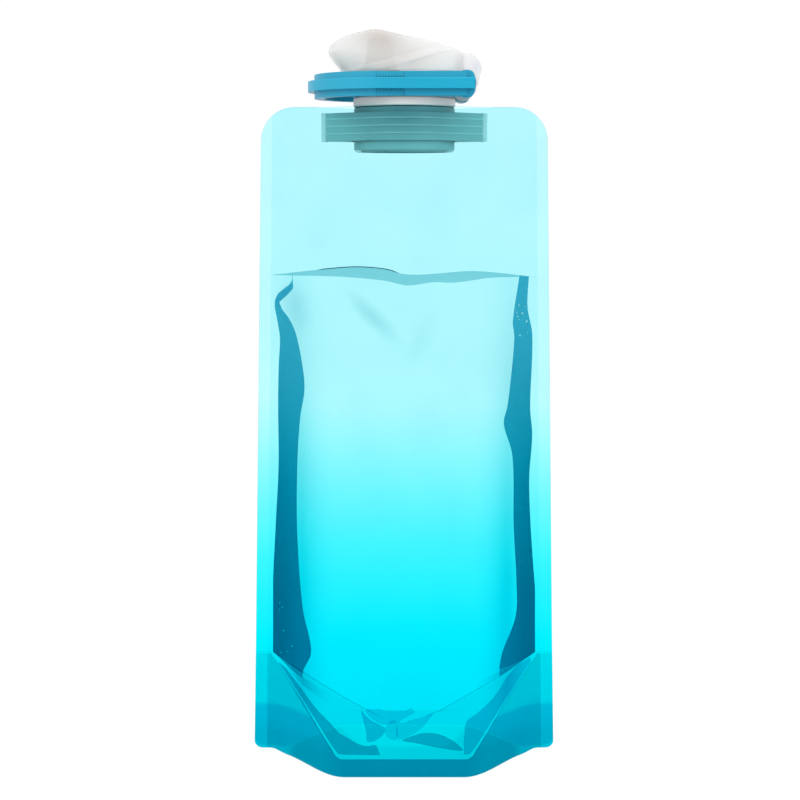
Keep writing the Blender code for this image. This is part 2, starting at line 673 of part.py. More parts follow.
def lid_dome(name, inset, bottom, collection):
    """A closed dome set in from the lid's outside, with a leaning thumb lip and a steep hinge end."""
    around = [2 * math.pi * step / LID_ROUND_STEPS for step in range(LID_ROUND_STEPS)]
    dome = bmesh.new()
    rings = []
    for step in range(LID_RISE_STEPS):
        tilt = math.pi / 2 * step / LID_RISE_STEPS
        tall = math.sin(tilt) ** LID_RISE_POWER
        ring = []
        for turn in around:
            power = mix(LID_SIDE_POWER, LID_END_POWER, max(0.0, math.cos(turn)))
            flat = math.cos(tilt) ** power
            x = LID_CENTRE_X + (LID_HALF_LENGTH - inset) * math.cos(turn) * flat
            lean = max(0.0, -math.cos(turn)) ** 2
            x -= LID_LIP * lean * math.sin(math.pi * tall) * flat
            y = (LID_HALF_DEPTH - inset) * math.sin(turn) * flat
            ring.append(dome.verts.new((x, y, mix(bottom, crown_height(x) - inset, tall))))
        rings.append(ring)
    peak = dome.verts.new((LID_CENTRE_X, 0.0, crown_height(LID_CENTRE_X) - inset))
    dome.faces.new(list(reversed(rings[0])))
    for low, high in zip(rings, rings[1:]):
        for step in range(LID_ROUND_STEPS):
            after = (step + 1) % LID_ROUND_STEPS
            dome.faces.new((low[step], low[after], high[after], high[step]))
    for step in range(LID_ROUND_STEPS):
        dome.faces.new((rings[-1][step], rings[-1][(step + 1) % LID_ROUND_STEPS], peak))
    bmesh.ops.recalc_face_normals(dome, faces=dome.faces)
    return add_mesh_object(name, dome, collection)


def tail_outline():
    """Side view of the strap that joins the lid to its knuckle, as (x, z) points."""
    left = LID_RIGHT - TAIL_ROOT
    top = crown_height(LID_RIGHT) - LID_WALL / 2
    bend = TAIL_REACH
    turns = [math.pi / 2 * step / TAIL_STEPS for step in range(TAIL_STEPS + 1)]
    corner = [(HINGE_X + bend * math.sin(turn), top - bend + bend * math.cos(turn)) for turn in turns]
    knuckle = [(HINGE_X + KNUCKLE_RADIUS, HINGE_Z), (HINGE_X, HINGE_Z)]
    return [(left, LID_BOTTOM), (left, top)] + corner + knuckle


def make_lid(parts, tools):
    """Hollow lid with its hinge strap and knuckle."""
    lid = lid_dome("flip_lid", 0.0, LID_BOTTOM, parts)
    combine(lid, lid_dome("lid_hollow", LID_WALL, LID_BOTTOM - LID_WALL, tools), "DIFFERENCE")
    strap = plate("lid_strap", [tail_outline()], -KNUCKLE_HALF_LENGTH, KNUCKLE_HALF_LENGTH, tools)
    strap.matrix_world = Matrix.Rotation(math.pi / 2, 4, "X")
    combine(lid, strap, "UNION")
    combine(lid, rod_along_y("lid_knuckle", KNUCKLE_RADIUS, KNUCKLE_HALF_LENGTH, tools), "UNION")
    pin_hole = rod_along_y("knuckle_hole", PIN_RADIUS + SEAT_GAP, 2 * KNUCKLE_HALF_LENGTH, tools)
    combine(lid, pin_hole, "DIFFERENCE")
    return lid


def make_plug(parts):
    """Soft tapered plug under the lid that closes the mouthpiece."""
    nose = PLUG_BOTTOM - PLUG_DEPTH
    profile = [
        (0.0, PLUG_TOP), (PLUG_RADIUS, PLUG_TOP), (PLUG_RADIUS, PLUG_BOTTOM), (PLUG_NECK_RADIUS, PLUG_BOTTOM),
        (PLUG_NOSE_RADIUS, nose), (0.0, nose),
    ]
    return turned("lid_plug", profile, parts, (SPOUT_X, 0.0), SMALL_ROUND_STEPS)


def finish(item, material):
    """Give a piece its material and smooth shading."""
    item.data.materials.clear()
    item.data.materials.append(material)
    item.data.shade_smooth()


def main():
    clear_scene()
    parts = make_collection("folding_water_bottle")
    tools = make_collection("shaping_tools")
    film = make_material("tinted film", (0.45, 0.95, 1.0), 0.15, 0.5)
    deep_film = make_material("deep tinted film", (0.0, 0.42, 0.55), 0.15, 0.7)
    natural = make_material("natural polypropylene", (0.78, 0.78, 0.79), 0.35, 0.85)
    white = make_material("white polypropylene", (0.80, 0.79, 0.78), 0.4)
    blue = make_material("blue polypropylene", (0.03, 0.39, 0.63), 0.35)
    soft = make_material("cream silicone", (0.74, 0.70, 0.62), 0.5)
    steel = make_material("steel", (0.60, 0.61, 0.62), 0.3)
    finish(make_panel("front_film", -1, parts), film)
    finish(make_panel("back_film", 1, parts), film)
    finish(make_gusset(parts), deep_film)
    finish(make_fitment(parts, tools), white)
    finish(make_gasket(parts), soft)
    finish(make_cap(parts, tools), white)
    finish(make_mouthpiece(parts), soft)
    finish(make_ring(parts, tools), blue)
    finish(make_pin(parts), steel)
    finish(make_lid(parts, tools), natural)
    finish(make_plug(parts), soft)


main()
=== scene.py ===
"""Folding water bottle: a filled film pouch with a welded spout, screw cap, carry ring and flip lid."""
import math
import random

import bmesh
import bpy
from mathutils import Matrix, Vector


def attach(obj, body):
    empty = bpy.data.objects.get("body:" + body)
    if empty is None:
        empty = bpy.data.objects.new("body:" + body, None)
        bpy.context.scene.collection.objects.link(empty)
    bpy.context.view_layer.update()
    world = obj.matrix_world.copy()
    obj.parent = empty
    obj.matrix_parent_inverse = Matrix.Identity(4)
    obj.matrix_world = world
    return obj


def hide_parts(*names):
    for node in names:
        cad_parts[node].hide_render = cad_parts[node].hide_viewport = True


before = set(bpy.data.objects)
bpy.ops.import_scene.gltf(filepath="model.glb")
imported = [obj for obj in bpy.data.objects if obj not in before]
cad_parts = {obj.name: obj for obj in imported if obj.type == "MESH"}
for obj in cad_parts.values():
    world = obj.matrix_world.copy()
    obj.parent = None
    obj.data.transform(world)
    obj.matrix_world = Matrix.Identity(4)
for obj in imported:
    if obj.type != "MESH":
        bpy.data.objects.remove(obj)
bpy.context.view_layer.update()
scene = bpy.context.scene
scene.view_settings.view_transform = "Standard"
# A line of sight through the foot crosses more sheets of film than the renderer follows by default
scene.cycles.transparent_max_bounces = 32

MM = 0.001

# Pouch sizes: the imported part's, but with the film's top edge 0.3 mm higher, side seals that narrow towards
# the top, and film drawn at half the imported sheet's thickness
POUCH_HEIGHT = 236.8 * MM
BASE_HALF_WIDTH = 56.2 * MM
TOP_HALF_WIDTH = 49.3 * MM
BASE_HALF_DEPTH = 21.0 * MM
BELLY_SWELL = 1.6 * MM
BELLY_HEIGHT_SHARE = 0.3
SHOULDER_HEIGHT_SHARE = 0.85
SHOULDER_DROP = 2.0 * MM
FILM = 0.4 * MM
FILM_THICKNESS = 0.2 * MM
WELD_GAP = 0.35 * MM
SEAT_GAP = 0.3 * MM
SEALED = 1.2 * MM
SIDE_SEAL = 6.0 * MM
TOP_SIDE_SEAL = 3.4 * MM
TOP_CORNER_RADIUS = 11.3 * MM
BASE_CORNER_RADIUS = 3.0 * MM
BASE_CORNER_LIFT = 1.5 * MM
FOOT_FLAT_HALF = 21.5 * MM
FOOT_TOE = BASE_HALF_WIDTH - SIDE_SEAL
FOOT_BLEND = 48.0 * MM
BASE_SEAL = 6.5 * MM
KEEL_WELD_HALF = 24.0 * MM
GUSSET_HEIGHT = 38.5 * MM
GUSSET_MIDDLE = 9.5 * MM
CREASE_BOW = 1.2
GUSSET_SAG = 1.25
GUSSET_TIP_EASE = 6.0 * MM
NECK_BLEND_START = 150.0 * MM
TUBE_BOTTOM = 221.5 * MM
BOAT_RADIUS = 18.4 * MM
BOAT_APEX = 30.0 * MM
# Inner edge of the side seals as it shows: its place at the foot, and how much it leans in with the height
SEAL_LINE = 51.7 * MM
SEAL_LEAN = 0.0256
SEAL_LINE_SOFTNESS = 0.3 * MM
# Where the thick ink of the foot's flat middle ends towards the corners
MIDDLE_INK_END = 21 * MM
CORNER_INK_START = 31 * MM
# How far pleats and tucks lie off the foot film
PLEAT_LIFT = 0.5 * MM
TUCK_LIFT = 0.6 * MM

# Fitment sizes
TUBE_RADIUS = 17.4 * MM
TUBE_WALL = 2.4 * MM
TUBE_LIP = 0.8 * MM
LIP_ROUND = 0.35 * MM
BOAT_BOTTOM = 225.2 * MM
BOAT_TOP = 234.6 * MM
BOAT_INSIDE = 16.2 * MM
RIDGE_COUNT = 3
RIDGE_TOP = 232.6 * MM
RIDGE_PITCH = 2.5 * MM
RIDGE_WIDTH = 0.5 * MM
RIDGE_PROUD = 0.22 * MM
WING_HALF_LENGTH = 27.0 * MM
FIN_ROOT = 26.5 * MM
FIN_HALF_LENGTH = 28.7 * MM
FIN_THICKNESS = 0.8 * MM
FIN_OVERHANG = 0.2 * MM
SHOULDER_Z = 236.3 * MM
NECK_TOP = 244.6 * MM
NECK_RADIUS = 13.2 * MM
NECK_BORE = 11.8 * MM
THREAD_LEAD = 4.0 * MM
THREAD_START = 238.3 * MM
THREAD_TURNS = 1.3
THREAD_HEIGHT = 0.75 * MM
THREAD_HALF_WIDTH = 0.6 * MM

# Ring sizes
RING_HALF_DEPTH = 20.5 * MM
FLANGE_TOP = 245.2 * MM
FLANGE_BOTTOM = 241.7 * MM
FLANGE_EDGE = 0.35 * MM
GRIP_X = -4.7 * MM
GRIP_LENGTH = 9.4 * MM
GRIP_DEPTH = 0.5 * MM
GRIP_RIB_COUNT = 9
GRIP_RIB_HEIGHT = 0.8 * MM
GRIP_RIB_HALF_SHARE = 0.28
GRIP_RIB_ROUND = 0.12 * MM
EAR_EYE = 1.9 * MM
EAR_SHARE = 0.45

# Lid sizes
LID_BOTTOM = 247.8 * MM
LID_CENTRE_X = 0.1 * MM
LID_HALF_LENGTH = 20.9 * MM
LID_HALF_DEPTH = 18.8 * MM
LID_RIGHT = 20.2 * MM
LID_WALL = 1.2 * MM
LID_SIDE_POWER = 0.45
LID_END_POWER = 0.06
LID_END_SQUARENESS = 0.4
LID_RISE_POWER = 0.9
LID_SHOULDER_TILT = math.radians(78)
SPOUT_X = -8.5 * MM
HINGE_X = 20.5 * MM
HINGE_Z = 243.45 * MM
KNUCKLE_RADIUS = 4.1 * MM
KNUCKLE_BORE = 1.7 * MM
KNUCKLE_HALF_LENGTH = 10.2 * MM
TAIL_REACH = 5.5 * MM
TAIL_ROOT = 2.7 * MM
# Top of the lid along its length, as (place, height) in millimetres, with the hump over the mouthpiece
CROWN_LINE = [(-27, 259.7), (-21, 260.3), (-14.5, 261.7), (-11, 262.2), (-8, 262.0), (-0.8, 260.3),
              (6.1, 258.9), (13, 256.9), (20.9, 254.4)]
# Reach of the thumb lip at the left, from the lid's bottom at 0 to its crown at 1, in millimetres
LIP_LINE = [(0, 21.0), (0.25, 23.6), (0.5, 25.6), (0.65, 26.1), (0.8, 25.3), (0.9, 23.6), (1, 20.4)]
# Edges of the band that sweeps up along the lid's sides, as (place, height) in millimetres
SWEEP_UPPER = [(-18, 248.9), (-10, 250.1), (-5.6, 251.1), (1, 252.9), (6.7, 254.8), (12.4, 256.7),
               (20, 258.6)]
SWEEP_LOWER = [(-7, 248.2), (0.6, 250.1), (8.8, 252.5), (12.8, 253.8), (19, 255.2)]
SWEEP_SOFTNESS = 0.2 * MM
SWEEP_PROUD = 0.6 * MM
SWEEP_HOLLOW = 0.3 * MM
SWEEP_HOLLOW_EASE = 5 * MM

# Water
WATER_LEVEL = 178.5 * MM
WATER_CLEARANCE = 0.35 * MM
WATER_MARGIN = 0.5 * MM
BUBBLE_RADII_IN_MM = (0.12, 0.34)

# The camera's eye, which the back of the water is fitted to, so that its edges line up from the front
EYE_X = -1.5 * MM
EYE_DISTANCE = 447 * MM
EYE_HEIGHT = 213 * MM
EYE_TILT = 10
EYE_SLOPE = 0.4

# Steps of the meshes
PANEL_COLUMNS = 64
SEAL_COLUMNS = 9
FOOT_ROWS = 40
BODY_ROWS = 70
CORNER_ROWS = 12
GUSSET_ROWS = 64
BEAD_STEPS = 60
BEAD_SIDES = 8
BOAT_ROWS = 76
THREAD_STEPS = 110


def hex_colour(code):
    """An sRGB hex colour as linear red, green, blue and alpha."""
    linear = []
    for start in (1, 3, 5):
        part = int(code[start:start + 2], 16) / 255
        linear.append(part / 12.92 if part <= 0.04045 else ((part + 0.055) / 1.055) ** 2.4)
    return (*linear, 1.0)


def smoothstep(low, high, value):
    """Ease from 0 at low to 1 at high."""
    share = min(1.0, max(0.0, (value - low) / (high - low)))
    return share * share * (3 - 2 * share)


def mix(first, second, share):
    return first + (second - first) * share


def steps_between(start, end, count):
    """Evenly spaced values with both ends."""
    return [mix(start, end, step / count) for step in range(count + 1)]


def cubic(start, end, slope_in, slope_out, share):
    """A curve from start to end that leaves and arrives at given slopes, read at a share of the way."""
    bend = share * share * (3 - 2 * share)
    lead = share * (1 - share) * ((1 - share) * slope_in - share * slope_out)
    return mix(start, end, bend) + lead


def through(points, value):
    """A smooth curve through (place, size) points, read at a value."""
    if value <= points[0][0]:
        return points[0][1]
    if value >= points[-1][0]:
        return points[-1][1]
    number = max(index for index, point in enumerate(points[:-1]) if point[0] <= value)
    before, after = points[number], points[number + 1]
    left = points[max(number - 1, 0)]
    right = points[min(number + 2, len(points) - 1)]
    length = after[0] - before[0]
    share = (value - before[0]) / length
    slope_in = (after[1] - left[1]) / (after[0] - left[0]) * length
    slope_out = (right[1] - before[1]) / (right[0] - before[0]) * length
    return cubic(before[1], after[1], slope_in, slope_out, share)


def in_metres(curve, value):
    """A curve that is given in millimetres, read in metres."""
    return through(curve, value / MM) * MM


# Film surfaces

def outer_half_width(z):
    """Half the pouch's width at a height, with its rounded top corners."""
    width = mix(BASE_HALF_WIDTH, TOP_HALF_WIDTH, z / POUCH_HEIGHT)
    into_corner = z - (POUCH_HEIGHT - TOP_CORNER_RADIUS)
    if into_corner <= 0:
        return width
    return width - TOP_CORNER_RADIUS + math.sqrt(max(0.0, TOP_CORNER_RADIUS ** 2 - into_corner ** 2))


def inner_half_width(z):
    """Half the width between the side seals."""
    return mix(BASE_HALF_WIDTH - SIDE_SEAL, TOP_HALF_WIDTH - TOP_SIDE_SEAL, z / POUCH_HEIGHT)


def boat_half_thickness(x, clearance):
    """The spout fitment's plan: a circle with tangents that run to a point at each side."""
    radius = BOAT_RADIUS + clearance
    apex = BOAT_APEX * radius / BOAT_RADIUS
    touch = radius * radius / apex
    distance = abs(x)
    if distance <= touch:
        return math.sqrt(radius ** 2 - distance ** 2)
    tangent_height = math.sqrt(radius ** 2 - touch ** 2)
    return max(0.0, tangent_height * (apex - distance) / (apex - touch))


def lens_half_depth(x, z):
    """The filled pouch's section: an arc between the side seals."""
    half_chord = inner_half_width(z)
    if abs(x) >= half_chord:
        return 0.0
    belly = BELLY_HEIGHT_SHARE * POUCH_HEIGHT
    shoulder = SHOULDER_HEIGHT_SHARE * POUCH_HEIGHT
    depth = BASE_HALF_DEPTH + BELLY_SWELL * smoothstep(0, belly, z)
    depth -= SHOULDER_DROP * smoothstep(belly, shoulder, z)
    radius = (half_chord ** 2 + depth ** 2) / (2 * depth)
    return math.sqrt(radius ** 2 - x ** 2) - (radius - depth)


def foot_half_depth(x):
    """The opened foot's plan: flat in the middle, easing in to the corners."""
    return BASE_HALF_DEPTH * (1 - smoothstep(FOOT_FLAT_HALF, FOOT_TOE, abs(x)))


def film_depth(x, z):
    """Distance from the middle plane to the middle of the front or back film."""
    foot_share = 1 - smoothstep(BASE_SEAL, FOOT_BLEND, z)
    neck_share = smoothstep(NECK_BLEND_START, TUBE_BOTTOM - SEAT_GAP, z)
    body = mix(lens_half_depth(x, z), foot_half_depth(x), foot_share)
    neck = boat_half_thickness(x, SEAT_GAP + FILM / 2)
    gusset_share = 1 - smoothstep(GUSSET_HEIGHT, GUSSET_HEIGHT + GUSSET_TIP_EASE, z)
    weld = (WELD_GAP + FILM) * (0.5 + gusset_share)
    return weld + mix(body, neck, neck_share)


def leg_depth(x, z):
    """Distance from the middle plane to a gusset leg, one film and gap inside the panel."""
    step = FILM
    slope_x = (film_depth(x + step, z) - film_depth(x - step, z)) / (2 * step)
    slope_z = (film_depth(x, z + step) - film_depth(x, max(0.0, z - step))) / (2 * step)
    inset = (FILM + WELD_GAP) * math.sqrt(1 + slope_x ** 2 + slope_z ** 2)
    return max(film_depth(x, z) - inset, (WELD_GAP + FILM) / 2)


def base_edge_lift(x):
    """Height of the bottom edge: on the table, with lifted and rounded corners."""
    distance = abs(x)
    lift = BASE_CORNER_LIFT * smoothstep(FOOT_TOE - SIDE_SEAL, FOOT_TOE, distance)
    into_corner = distance - (BASE_HALF_WIDTH - BASE_CORNER_RADIUS)
    if into_corner > 0:
        share = min(1.0, into_corner / BASE_CORNER_RADIUS)
        lift += BASE_CORNER_RADIUS * (1 - math.sqrt(1 - share ** 2))
    return lift


def weld_height(x):
    """Top of the weld between gusset and panel: the base seal and two slanted corner seals."""
    top = inner_half_width(GUSSET_HEIGHT)
    share = (abs(x) - KEEL_WELD_HALF) / (top - KEEL_WELD_HALF)
    return mix(BASE_SEAL, GUSSET_HEIGHT, min(1.0, max(0.0, share)))


def crease_height(x):
    """Height of the gusset's middle fold, from its low centre up to the side seals."""
    share = min(1.0, abs(x) / inner_half_width(GUSSET_HEIGHT)) ** CREASE_BOW
    return mix(GUSSET_MIDDLE, GUSSET_HEIGHT + FILM + WELD_GAP, share)


# Mesh making

def add_object(name, data):
    """A named object in the scene, from a mesh, a light or a camera."""
    item = bpy.data.objects.new(name, data)
    scene.collection.objects.link(item)
    return item


def mesh_object(name, points, faces, material):
    """A smooth named object from points and faces."""
    mesh = bpy.data.meshes.new(name)
    mesh.from_pydata(points, [], faces)
    mesh.materials.append(material)
    mesh.shade_smooth()
    return add_object(name, mesh)


def object_from(shape, name, materials):
    """A named object from a finished bmesh, which is freed."""
    mesh = bpy.data.meshes.new(name)
    shape.to_mesh(mesh)
    shape.free()
    for material in materials:
        mesh.materials.append(material)
    return add_object(name, mesh)


def skin_loops(name, loops, material, closed=True, capped=True, ring=False):
    """A skin over loops of equal length; capped closes both ends, ring joins the last loop to the first."""
    count = len(loops[0])
    points = [point for loop in loops for point in loop]
    faces = []
    for row in range(len(loops) if ring else len(loops) - 1):
        low = row * count
        high = (row + 1) % len(loops) * count
        for place in range(count if closed else count - 1):
            after = (place + 1) % count
            faces.append((low + place, low + after, high + after, high + place))
    if capped and not ring:
        faces.append(tuple(reversed(range(count))))
        last = len(points) - count
        faces.append(tuple(range(last, last + count)))
    item = mesh_object(name, points, faces, material)
    tidy = bmesh.new()
    tidy.from_mesh(item.data)
    bmesh.ops.recalc_face_normals(tidy, faces=tidy.faces)
    tidy.to_mesh(item.data)
    tidy.free()
    return item


def soft_edges(item, width, segments=3):
    """Round off a moulding's edges, and keep its flat faces flat to the light."""
    sharpest_smooth_turn = math.radians(32)
    bevel = item.modifiers.new("moulded edges", "BEVEL")
    bevel.width = width
    bevel.segments = segments
    bevel.limit_method = "ANGLE"
    bevel.angle_limit = sharpest_smooth_turn
    item.modifiers.new("flat faces", "WEIGHTED_NORMAL")


def give_thickness(sheet):
    """Make a sheet of film as thick as it is: its print stays on one face, and the other face is clear."""
    sheet.data.materials.append(bare_face)
    solid = sheet.modifiers.new("film thickness", "SOLIDIFY")
    solid.thickness = FILM_THICKNESS
    solid.offset = 0.0
    solid.material_offset = len(sheet.data.materials) - 1
    solid.material_offset_rim = solid.material_offset


def merge(name, items):
    """Put several bodies into one named moulding, with their materials."""
    whole = bmesh.new()
    materials = []
    for item in items:
        start = len(materials)
        materials += list(item.data.materials)
        first = len(whole.faces)
        whole.from_mesh(item.data)
        whole.faces.ensure_lookup_table()
        for face in whole.faces[first:]:
            face.material_index += start
        bpy.data.objects.remove(item)
    return object_from(whole, name, materials)


def turned(name, profile, material, steps=96, along_y=False, centre=(0.0, 0.0)):
    """A turned body from a closed (radius, place along the axis) profile, about Z or about Y at a centre."""
    loops = []
    for radius, place in profile:
        loop = []
        for turn in steps_between(0, 2 * math.pi, steps)[:-1]:
            across = radius * math.cos(turn)
            other = radius * math.sin(turn)
            if along_y:
                loop.append(Vector((centre[0] + across, place, centre[1] + other)))
            else:
                loop.append(Vector((across, other, place)))
        loops.append(loop)
    return skin_loops(name, loops, material, ring=True)


def plate_along_y(name, outline, half_length, material):
    """A plate whose (x, z) outline runs from -half_length to half_length across."""
    loops = [[Vector((x, y, z)) for x, z in outline] for y in (-half_length, half_length)]
    return skin_loops(name, loops, material)


# Materials

def add_node(tree, kind, settings=None, links=None):
    """Add a shader node with its settings and the links into it, from sockets or nodes' first outputs."""
    node = tree.nodes.new(kind)
    for name, value in (settings or {}).items():
        if isinstance(name, int) or name in node.inputs:
            node.inputs[name].default_value = value
        else:
            setattr(node, name, value)
    for name, source in (links or {}).items():
        if isinstance(source, bpy.types.Node):
            source = next(socket for socket in source.outputs if socket.enabled)
        tree.links.new(source, node.inputs[name])
    return node


def new_material(name):
    """An empty material and its node tree."""
    material = bpy.data.materials.new(name)
    material.use_nodes = True
    tree = material.node_tree
    tree.nodes.clear()
    return material, tree


def set_stops(ramp, stops):
    """Give a colour ramp its (place, hex colour) stops."""
    elements = ramp.color_ramp.elements
    while len(elements) > 1:
        elements.remove(elements[-1])
    for number, (place, code) in enumerate(stops):
        element = elements[0] if number == 0 else elements.new(place)
        element.position = place
        element.color = hex_colour(code)


def object_place(tree):
    """Where a point lies on its piece: the place as a whole, and its X, Y and Z."""
    place = add_node(tree, "ShaderNodeTexCoord").outputs["Object"]
    return place, add_node(tree, "ShaderNodeSeparateXYZ", links={0: place}).outputs


def soft_patch(tree, place, centre, reach, strength, turn=0.0):
    """How strong a soft patch is: most at its centre and nothing at its reach, with a turn about Y."""
    spot = add_node(tree, "ShaderNodeMapping", {
        "vector_type": "TEXTURE", "Location": centre, "Scale": reach,
        "Rotation": (0.0, math.radians(turn), 0.0),
    }, {"Vector": place})
    fade = add_node(tree, "ShaderNodeTexGradient", {"gradient_type": "SPHERICAL"}, {"Vector": spot})
    return add_node(tree, "ShaderNodeMapRange", {"interpolation_type": "SMOOTHSTEP", "To Max": strength},
                    {"Value": fade.outputs["Fac"]})


def clear_film(name, stops, loose_code, middle_stops, painted_shade_marks):
    """Laminated film printed with a clear ink: what lies behind it shows through, tinted by height.

    Between the seals it is tinted a little more by loose_code, the middle of the foot may have its own
    stops, and each mark is painted shade, a soft dark patch over a dent, a fold or a shadow in the film:
    centre, half sizes, turn about Y and darkness.
    """
    shade_code = "#6fb4c4"
    cloud_size = 26 * MM
    cloud_darkness = 0.05
    ripple_size = 9 * MM
    ripple_height = 0.4 * MM
    material, tree = new_material(name)
    place, axes = object_place(tree)
    height = add_node(tree, "ShaderNodeMapRange", {"From Max": POUCH_HEIGHT}, {"Value": axes["Z"]})
    tint = add_node(tree, "ShaderNodeValToRGB", links={"Fac": height})
    set_stops(tint, stops)
    distance = add_node(tree, "ShaderNodeMath", {"operation": "ABSOLUTE"}, {0: axes["X"]})
    if middle_stops:
        middle = add_node(tree, "ShaderNodeValToRGB", links={"Fac": height})
        set_stops(middle, middle_stops)
        corner = add_node(tree, "ShaderNodeMapRange", {
            "interpolation_type": "SMOOTHSTEP", "From Min": MIDDLE_INK_END, "From Max": CORNER_INK_START,
        }, {"Value": distance})
        tint = add_node(tree, "ShaderNodeMix", {"data_type": "RGBA"},
                        {"Factor": corner, "A": middle, "B": tint})
    lean = add_node(tree, "ShaderNodeMath", {"operation": "MULTIPLY_ADD", 1: SEAL_LEAN},
                    {0: axes["Z"], 2: distance})
    loose = add_node(tree, "ShaderNodeMapRange", {
        "From Min": SEAL_LINE + SEAL_LINE_SOFTNESS, "From Max": SEAL_LINE - SEAL_LINE_SOFTNESS,
    }, {"Value": lean})
    cloud = add_node(tree, "ShaderNodeTexNoise", {"Scale": 1 / cloud_size, "Detail": 3.0}, {"Vector": place})
    bloom = add_node(tree, "ShaderNodeMapRange", {
        "From Min": 0.45, "From Max": 0.75, "To Max": cloud_darkness,
    }, {"Value": cloud.outputs["Fac"]})
    shades = [(loose, loose_code), (bloom, shade_code)]
    for centre, half_sizes, turn, darkness in painted_shade_marks:
        shades.append((soft_patch(tree, place, centre, half_sizes, darkness, turn), shade_code))
    for share, code in shades:
        tint = add_node(tree, "ShaderNodeMix", {
            "data_type": "RGBA", "blend_type": "MULTIPLY", "B": hex_colour(code),
        }, {"Factor": share, "A": tint})
    clear = add_node(tree, "ShaderNodeBsdfTransparent", links={"Color": tint})
    ripple = add_node(tree, "ShaderNodeTexNoise", {"Scale": 1 / ripple_size, "Detail": 2.0},
                      {"Vector": place})
    relief = add_node(tree, "ShaderNodeBump", {"Strength": 0.15, "Distance": ripple_height},
                      {"Height": ripple.outputs["Fac"]})
    gloss = add_node(tree, "ShaderNodeBsdfGlossy", {"Roughness": 0.18}, {"Normal": relief})
    edge = add_node(tree, "ShaderNodeLayerWeight", {"Blend": 0.06})
    sheen = add_node(tree, "ShaderNodeMapRange", {"From Min": 0.01}, {"Value": edge.outputs["Fresnel"]})
    film = add_node(tree, "ShaderNodeMixShader", links={0: sheen, 1: clear, 2: gloss})
    add_node(tree, "ShaderNodeOutputMaterial", links={"Surface": film})
    return material


def clear_tint(name, code):
    """Something clear with one tint; for some pieces the tint is painted shade or a painted reflection."""
    material, tree = new_material(name)
    clear = add_node(tree, "ShaderNodeBsdfTransparent", {"Color": hex_colour(code)})
    add_node(tree, "ShaderNodeOutputMaterial", links={"Surface": clear})
    return material


def deepening_water(name, plain_stops, deep_stops, near, far, ease, clear_again=None):
    """Clear water painted deeper from one distance off the middle to another: painted shade for the light
    that the pouch's curved sides bend away.

    Both tints run by height, with the stops' places as shares of the water's level. Past a third distance,
    if one is given, the water is clear again.
    """
    material, tree = new_material(name)
    axes = object_place(tree)[1]
    height = add_node(tree, "ShaderNodeMapRange", {"From Max": WATER_LEVEL}, {"Value": axes["Z"]})
    tints = []
    for stops in (plain_stops, deep_stops):
        ramp = add_node(tree, "ShaderNodeValToRGB", links={"Fac": height})
        set_stops(ramp, stops)
        tints.append(ramp)
    distance = add_node(tree, "ShaderNodeMath", {"operation": "ABSOLUTE"}, {0: axes["X"]})
    share = add_node(tree, "ShaderNodeMapRange", {"From Min": near, "From Max": far}, {"Value": distance})
    depth = add_node(tree, "ShaderNodeMath", {"operation": "POWER", 1: ease}, {0: share})
    if clear_again:
        fade = add_node(tree, "ShaderNodeMapRange", {
            "From Min": far, "From Max": clear_again, "To Min": 1.0, "To Max": 0.0,
        }, {"Value": distance})
        depth = add_node(tree, "ShaderNodeMath", {"operation": "MULTIPLY"}, {0: depth, 1: fade})
    tint = add_node(tree, "ShaderNodeMix", {"data_type": "RGBA"},
                    {"Factor": depth, "A": tints[0], "B": tints[1]})
    clear = add_node(tree, "ShaderNodeBsdfTransparent", links={"Color": tint})
    add_node(tree, "ShaderNodeOutputMaterial", links={"Surface": clear})
    return material


def moulded_plastic(name, code, shade_code, roughness, grain, clear_share=0.0, painted_patches=(), layers=None):
    """Injection moulding: a fine satin grain, a slight cloud in the colour, some clearness if it is natural.

    A clear moulding also scatters light inside. Painted patches are soft spots of other colours that paint
    light
    or shade on: centre, reach, hex colour and strength. Layers are (height, hex colour) steps that take the
    place of the first colour.
    """
    cloud_size = 14 * MM
    # Real mould grain is finer than this, and is drawn as coarse as it needs to be to show
    pore_size = 0.5 * MM
    pore_depth = 0.05 * MM
    scatter_depth = 4 * MM
    material, tree = new_material(name)
    place = add_node(tree, "ShaderNodeTexCoord").outputs["Object"]
    cloud = add_node(tree, "ShaderNodeTexNoise", {"Scale": 1 / cloud_size, "Detail": 4.0}, {"Vector": place})
    colour = add_node(tree, "ShaderNodeMix", {
        "data_type": "RGBA", "A": hex_colour(code), "B": hex_colour(shade_code),
    }, {"Factor": cloud.outputs["Fac"]})
    if layers:
        low, high = layers[0][0], layers[-1][0]
        axes = add_node(tree, "ShaderNodeSeparateXYZ", links={0: place})
        height = add_node(tree, "ShaderNodeMapRange", {"From Min": low, "From Max": high},
                          {"Value": axes.outputs["Z"]})
        ramp = add_node(tree, "ShaderNodeValToRGB", links={"Fac": height})
        ramp.color_ramp.interpolation = "CONSTANT"
        set_stops(ramp, [((start - low) / (high - low), layer_code) for start, layer_code in layers])
        tree.links.new(ramp.outputs["Color"], colour.inputs["A"])
    for centre, reach, patch_code, strength in painted_patches:
        share = soft_patch(tree, place, centre, reach, strength)
        colour = add_node(tree, "ShaderNodeMix", {"data_type": "RGBA", "B": hex_colour(patch_code)},
                          {"Factor": share, "A": colour})
    pores = add_node(tree, "ShaderNodeTexNoise", {"Scale": 1 / pore_size, "Detail": 2.0}, {"Vector": place})
    relief = add_node(tree, "ShaderNodeBump", {"Strength": grain, "Distance": pore_depth},
                      {"Height": pores.outputs["Fac"]})
    skin = add_node(tree, "ShaderNodeBsdfPrincipled", {
        "Roughness": roughness, "IOR": 1.49, "Specular IOR Level": 0.3, "Alpha": 1 - clear_share,
        "Subsurface Weight": min(1.0, 2 * clear_share), "Subsurface Radius": (1.0, 1.0, 1.0),
        "Subsurface Scale": scatter_depth,
    }, {"Base Color": colour, "Normal": relief})
    add_node(tree, "ShaderNodeOutputMaterial", links={"Surface": skin})
    return material


